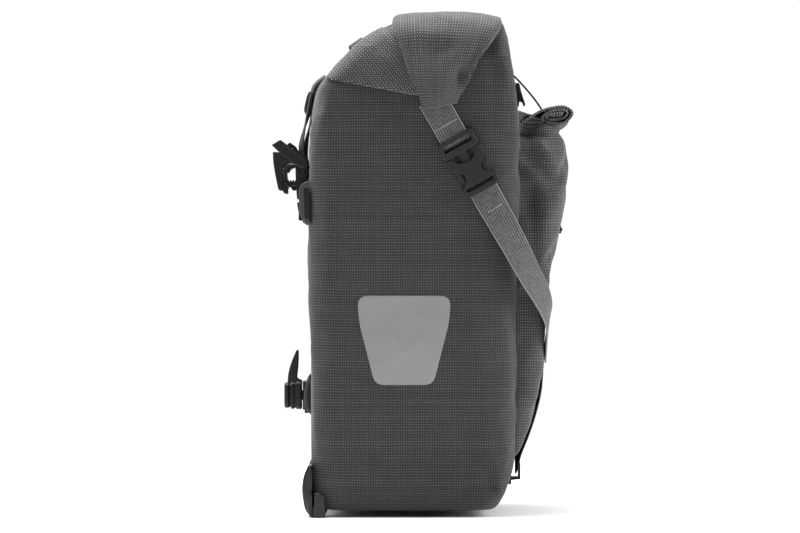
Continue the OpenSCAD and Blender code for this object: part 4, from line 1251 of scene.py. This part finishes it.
def latch(name):
    lo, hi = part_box("latch_left")
    middle = (lo.y + hi.y) / 2
    claw = [(-10.5, 298, 1), (-5.2, 297.4, 1), (-5.6, 290, 2.5), (-9.2, 287.8, 2), (-13.8, 288.6, 1),
            (-14.6, 287, 0.9), (-16.4, 286.6, 0.9), (-17, 288.6, 0.8), (-17.6, 286, 1.2), (-19.2, 285.2, 1),
            (-21.4, 286, 1.2), (-22.2, 288.4, 1), (-24.2, 288.6, 1)]
    teeth = []
    for i in range(6):
        teeth += [(-23.8 + 2.2 * i, 290.2, 0.2), (-22.8 + 2.2 * i, 292.3, 0.3)]
    claw = rounded(claw + teeth + [(-10.8, 290.8, 0.4)], 0.6, 4)
    ear = rounded([(-6, 296), (-1.6, 298), (-1.6, 301.2), (-6, 301.2)], 0.8)
    width = (hi.y - lo.y) / 2 / MM - 0.1
    pieces = [side_plate("claw", [claw], -width, width, 0.5, middle, BLACK_PLASTIC),
              side_plate("ear", [ear], -width, width, 0.5, middle, BLACK_PLASTIC),
              side_plate("hub", [circle(PIVOT, 3.2)], -width, width, 0.4, middle, BLACK_PLASTIC)]
    return joined("latch_" + name + "_claw", *pieces)


def pocket_hook():
    """The hook on the front panel that holds the pocket's strap."""
    lo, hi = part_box("pocket_hook")
    shape = [(-2.6, 374.5, 1), (4.6, 374.5, 1.2), (6.4, 366.5, 3), (10.2, 355.2, 0.7), (8.7, 353.6, 0.6), (7.6, 357.4, 1),
             (4.8, 358.6, 1), (4.2, 353.4, 0.8), (-2.6, 353, 0.8)]
    shape = [(p[0] + 3.7 + (FRONT - BACK) / MM, p[1] + 5) + p[2:] for p in shape]
    half = (hi.y - lo.y) / 2 / MM
    obj = side_plate("pocket_hook_claw", [rounded(shape, 1)], -half, half, 0.6, (lo.y + hi.y) / 2, BLACK_PLASTIC)
    return place(obj, "bag", "black_plastic", "pocket_hook")


def pocket_clip():
    """A small moulded clip on the front of the pocket."""
    lo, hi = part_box("pocket_clip")
    height = 249.5 * MM
    face = POCKET_SKIN.find_nearest(Vector((FRONT + 60 * MM, 0, height)))[0]
    matrix = Matrix.Translation((face.x, 0, height)) @ FRONT_PLANE
    half = (hi.y - lo.y) / 2 / MM
    back = rounded([(-half, -3.5), (half, -3.5), (half, 3.5), (-half, 3.5)], 3.2, 6)
    bar = rounded([(-half + 3, -1.6), (half - 3, -1.6), (half - 3, 1.6), (-half + 3, 1.6)], 1.5, 5)
    obj = joined("pocket_clip_bar", plate("clip", [back], -2.5, 1.6, 0.7, matrix, BLACK_PLASTIC),
                 plate("clip", [bar], 1.2, 2.7, 0.6, matrix, BLACK_PLASTIC))
    return place(obj, "bag", "black_plastic", "pocket_clip")


def rail_end(node, outline, inset):
    """Moulded cap at the end of a rail."""
    def make(name):
        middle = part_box(node)[0].y
        cap = side_plate("cap", [rounded(outline, 2)], -1.5, 2.2, 0.8, middle, GREY_PLASTIC)
        dark = side_plate("cap", [rounded(inset, 1)], 1.6, 2.6, 0.3, middle, BLACK_PLASTIC)
        return joined(node + "_cap_" + name, cap, dark)
    return make


TOP_CAP = [(-10.6, 281, 5), (-8.6, 287.6, 4), (-1.4, 290.4, 1.5), (-0.6, 253.2, 1), (-4.4, 252.6, 3), (-9.6, 260, 6)]
TOP_INSET = [(-6.2, 284.6, 1.5), (-1, 284.8, 0.8), (-1, 256.4, 0.8), (-5.4, 257.4, 2)]
LOW_CAP = [(-0.6, 124, 1), (-3.4, 121.6, 5), (-7.2, 108, 8), (-6.4, 92, 5), (-0.6, 87.4, 1)]
LOW_INSET = [(-1, 117, 1), (-3.6, 113, 3), (-4.8, 104, 4), (-4.2, 93.6, 2), (-1, 91.6, 1)]


def anchor():
    lo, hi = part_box("lower_anchor")
    centre = Matrix.Translation((0, (lo.y + hi.y) / 2, 102.5 * MM))
    rear = centre @ REAR_PLANE
    back = -BACK / MM
    def block(width, height, low, high, corner, bevel, hole):
        shape = rounded([(-width, -height), (width, -height), (width, height), (-width, height)], corner, 8)
        outlines = [shape] if hole is None else [shape, circle((0, 0), hole)[::-1]]
        return plate("block", outlines, back + low, back + high, bevel, rear, BLACK_PLASTIC)
    finger = [(-23.4, 111, 1), (-22.8, 122, 5), (-19.6, 133, 5), (-15.4, 142.6, 1.6), (-13.6, 142.8, 1.6),
              (-13.4, 138, 3), (-13.8, 128, 3), (-15, 117.6, 2), (-10.4, 115.8, 1), (-10.4, 111, 1)]
    pieces = [block(13, 12.2, 10.6, 15.6, 3.5, 0.8, 4.6), block(12, 11.2, 15.4, 17.4, 3, 0.3, 4.6),
              block(12.8, 12, 17.2, 20.2, 4, 0.7, 4.6), block(11.6, 10.6, 20, 21.4, 4, 0.3, 6.4),
              block(13, 11.2, 21.2, 26, 5, 1.6, 6.4),
              side_plate("finger", [rounded(finger, 1)], -8, 8, 1.0, (lo.y + hi.y) / 2, BLACK_PLASTIC)]
    return place(joined("anchor_claw", *pieces), "anchor", "black_plastic", "lower_anchor")


def guard(name):
    lo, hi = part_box("corner_guard_left")
    shoe = [(1.6, 46, 1), (-2.6, 45.4, 3), (-6.6, 37, 6), (-8.6, 24, 8), (-5.8, 7, 7), (-0.6, 0.1, 3), (10.6, 0.1, 2),
            (14, 5.6, 1.5), (3.4, 8.6, 4), (0.8, 16, 3), (1.0, 30, 3)]
    tab = [(2.2, 0.4, 1.4), (12.4, 0.4, 1.4), (11.4, 18.6, 3), (8.4, 21.8, 2.5), (2.6, 21.4, 1.5)]
    strip = [(-1.8, 1.6, 0.8), (0.8, 0.4, 0.8), (1.2, 19.6, 0.8), (-1.8, 23.6, 2), (-4.6, 16, 4)]
    inner = lo.y + 5 * MM
    pieces = [side_plate("shoe", [rounded(shoe, 1)], -31, 0.4, 1.6, inner, GLOSS_PLASTIC),
              side_plate("tab", [rounded(tab, 1)], -2, 5.6, 1.1, inner, GLOSS_PLASTIC),
              side_plate("strip", [rounded(strip, 1)], -2, 4.2, 1.0, inner, GLOSS_PLASTIC)]
    return joined("guard_" + name, *pieces)


for side_name, side_sign in SIDES.items():
    reflector(side_name, side_sign)
    gable_fold(side_name, side_sign)
roll()
pair(upper_strap, "bag", "grey_webbing", "upper_strap_{}")
pair(upper_stitch, "bag", "grey_webbing")
pair(lower_stitch, "socket_{}", "grey_webbing")
left_lower = lower_strap("left")
right_lower = mirrored(left_lower, "lower_webbing_right")
for side_name, strap in (("left", left_lower), ("right", right_lower)):
    blend_lower(strap)
    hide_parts("lower_strap_" + side_name)
shoulder_strap()
pocket_strap()
carry_loop()
pair(handle_strap, "handle_strap_{}", "black_webbing", "handle_strap_{}")
pair(plug, "bag", "black_plastic", "buckle_plug_{}")
pair(prong("rear"), "prong_{}_rear", "black_plastic", "prong_{}_rear")
pair(prong("front"), "prong_{}_front", "black_plastic", "prong_{}_front")
pair(socket, "socket_{}", "buckle_plastic", "buckle_socket_{}")
POCKET_SKIN = skin_of(outer_pocket())
pocket_roll()
back_tab()
handle_grip()
pair(hook, "hook_{}", "black_plastic", "hook_{}")
pair(latch, "latch_{}", "black_plastic", "latch_{}")
pair(rail_end("top_rail", TOP_CAP, TOP_INSET), "bag", "black_plastic")
pair(rail_end("lower_rail", LOW_CAP, LOW_INSET), "bag", "black_plastic")
anchor()
pocket_hook()
pocket_clip()
pair(guard, "bag", "gloss_plastic", "corner_guard_{}")


# ---- Floor, light and camera ----

def floor():
    size = 6.0
    n = Nodes("pale_floor", Roughness=0.9, Specular_IOR_Level=0.1)
    n.tree.links.new(n.grey(n.mix(n.noise(n.place(), 3.0), 0.9, 0.93)), n.shader.inputs["Base Color"])
    # Far from the bag the floor fades into the white background.
    away = n.add("ShaderNodeVectorMath", operation="LENGTH")
    n.plug(n.place(), away.inputs[0])
    fade = n.add("ShaderNodeMapRange", interpolation_type="SMOOTHSTEP")
    n.plug(away.outputs["Value"], fade.inputs["Value"])
    fade.inputs["From Min"].default_value = 0.5
    fade.inputs["From Max"].default_value = 2.2
    glow = n.add("ShaderNodeEmission")
    blend = n.add("ShaderNodeMixShader")
    n.plug(fade.outputs["Result"], blend.inputs[0])
    n.tree.links.new(n.shader.outputs[0], blend.inputs[1])
    n.tree.links.new(glow.outputs[0], blend.inputs[2])
    output = [node for node in n.tree.nodes if node.type == "OUTPUT_MATERIAL"][0]
    n.tree.links.new(blend.outputs[0], output.inputs["Surface"])
    verts = [(-size, -size, 0), (size, -size, 0), (size, size, 0), (-size, size, 0)]
    obj = build("floor", verts, [[0, 1, 2, 3]], None, n.material)


def softbox(name, where, aim, size, power):
    data = bpy.data.lights.new(name, "AREA")
    data.shape = "RECTANGLE"
    data.size, data.size_y = size
    data.energy = power
    obj = bpy.data.objects.new(name, data)
    obj.location = where
    obj.rotation_euler = (Vector(aim) - Vector(where)).to_track_quat("-Z", "Y").to_euler()
    bpy.context.scene.collection.objects.link(obj)


def sky():
    """A soft studio dome: bright above, lit from both sides and behind, dim in front."""
    n = bpy.context.scene.world.node_tree
    n.nodes.clear()
    helper = Nodes.__new__(Nodes)
    helper.tree = n
    direction = helper.add("ShaderNodeSeparateXYZ")
    helper.plug(helper.add("ShaderNodeTexCoord").outputs["Generated"], direction.inputs[0])
    x, y, z = direction.outputs
    above = helper.math("SMOOTH_MIN", helper.math("MAXIMUM", z, 0.0), 0.75, 0.2)
    beside = helper.math("POWER", helper.math("ABSOLUTE", x), 5.0)
    behind = helper.math("POWER", helper.math("MAXIMUM", y, 0.0), 2.0)
    glow = helper.math("ADD", DOME_BASE, helper.math("MULTIPLY", above, DOME_TOP))
    glow = helper.math("ADD", glow, helper.math("MULTIPLY", beside, DOME_SIDE))
    glow = helper.math("ADD", glow, helper.math("MULTIPLY", behind, DOME_REAR))
    seen = helper.add("ShaderNodeLightPath").outputs["Is Camera Ray"]
    background = helper.add("ShaderNodeBackground")
    background.inputs["Color"].default_value = (1, 1, 1, 1)
    helper.plug(helper.mix(seen, glow, 1.02), background.inputs["Strength"])
    n.links.new(background.outputs[0], helper.add("ShaderNodeOutputWorld").inputs["Surface"])


DOME_BASE = 0.07
DOME_TOP = 1.12
DOME_SIDE = 1.2
DOME_REAR = 0.5


def light_and_camera():
    scene = bpy.context.scene
    scene.world = bpy.data.worlds.new("studio")
    scene.world.use_nodes = True
    sky()
    middle = (0, 0, 0.25)
    softbox("top_light", (-0.3, -0.1, 1.5), middle, (1.0, 1.0), 54)
    softbox("rear_left_light", (-1.5, 0.4, 0.8), middle, (0.7, 1.3), 10)
    softbox("right_light", (1.6, -0.35, 0.75), middle, (0.5, 1.1), 26)
    camera = bpy.data.cameras.new("camera")
    camera.lens = 202.6
    camera.clip_end = 50
    obj = bpy.data.objects.new("camera", camera)
    obj.location = (-17.5 * MM, -4.0, 216.7 * MM)
    obj.rotation_euler = (math.pi / 2, 0, 0)
    scene.collection.objects.link(obj)
    scene.camera = obj
    scene.view_settings.view_transform = "Standard"


floor()
light_and_camera()
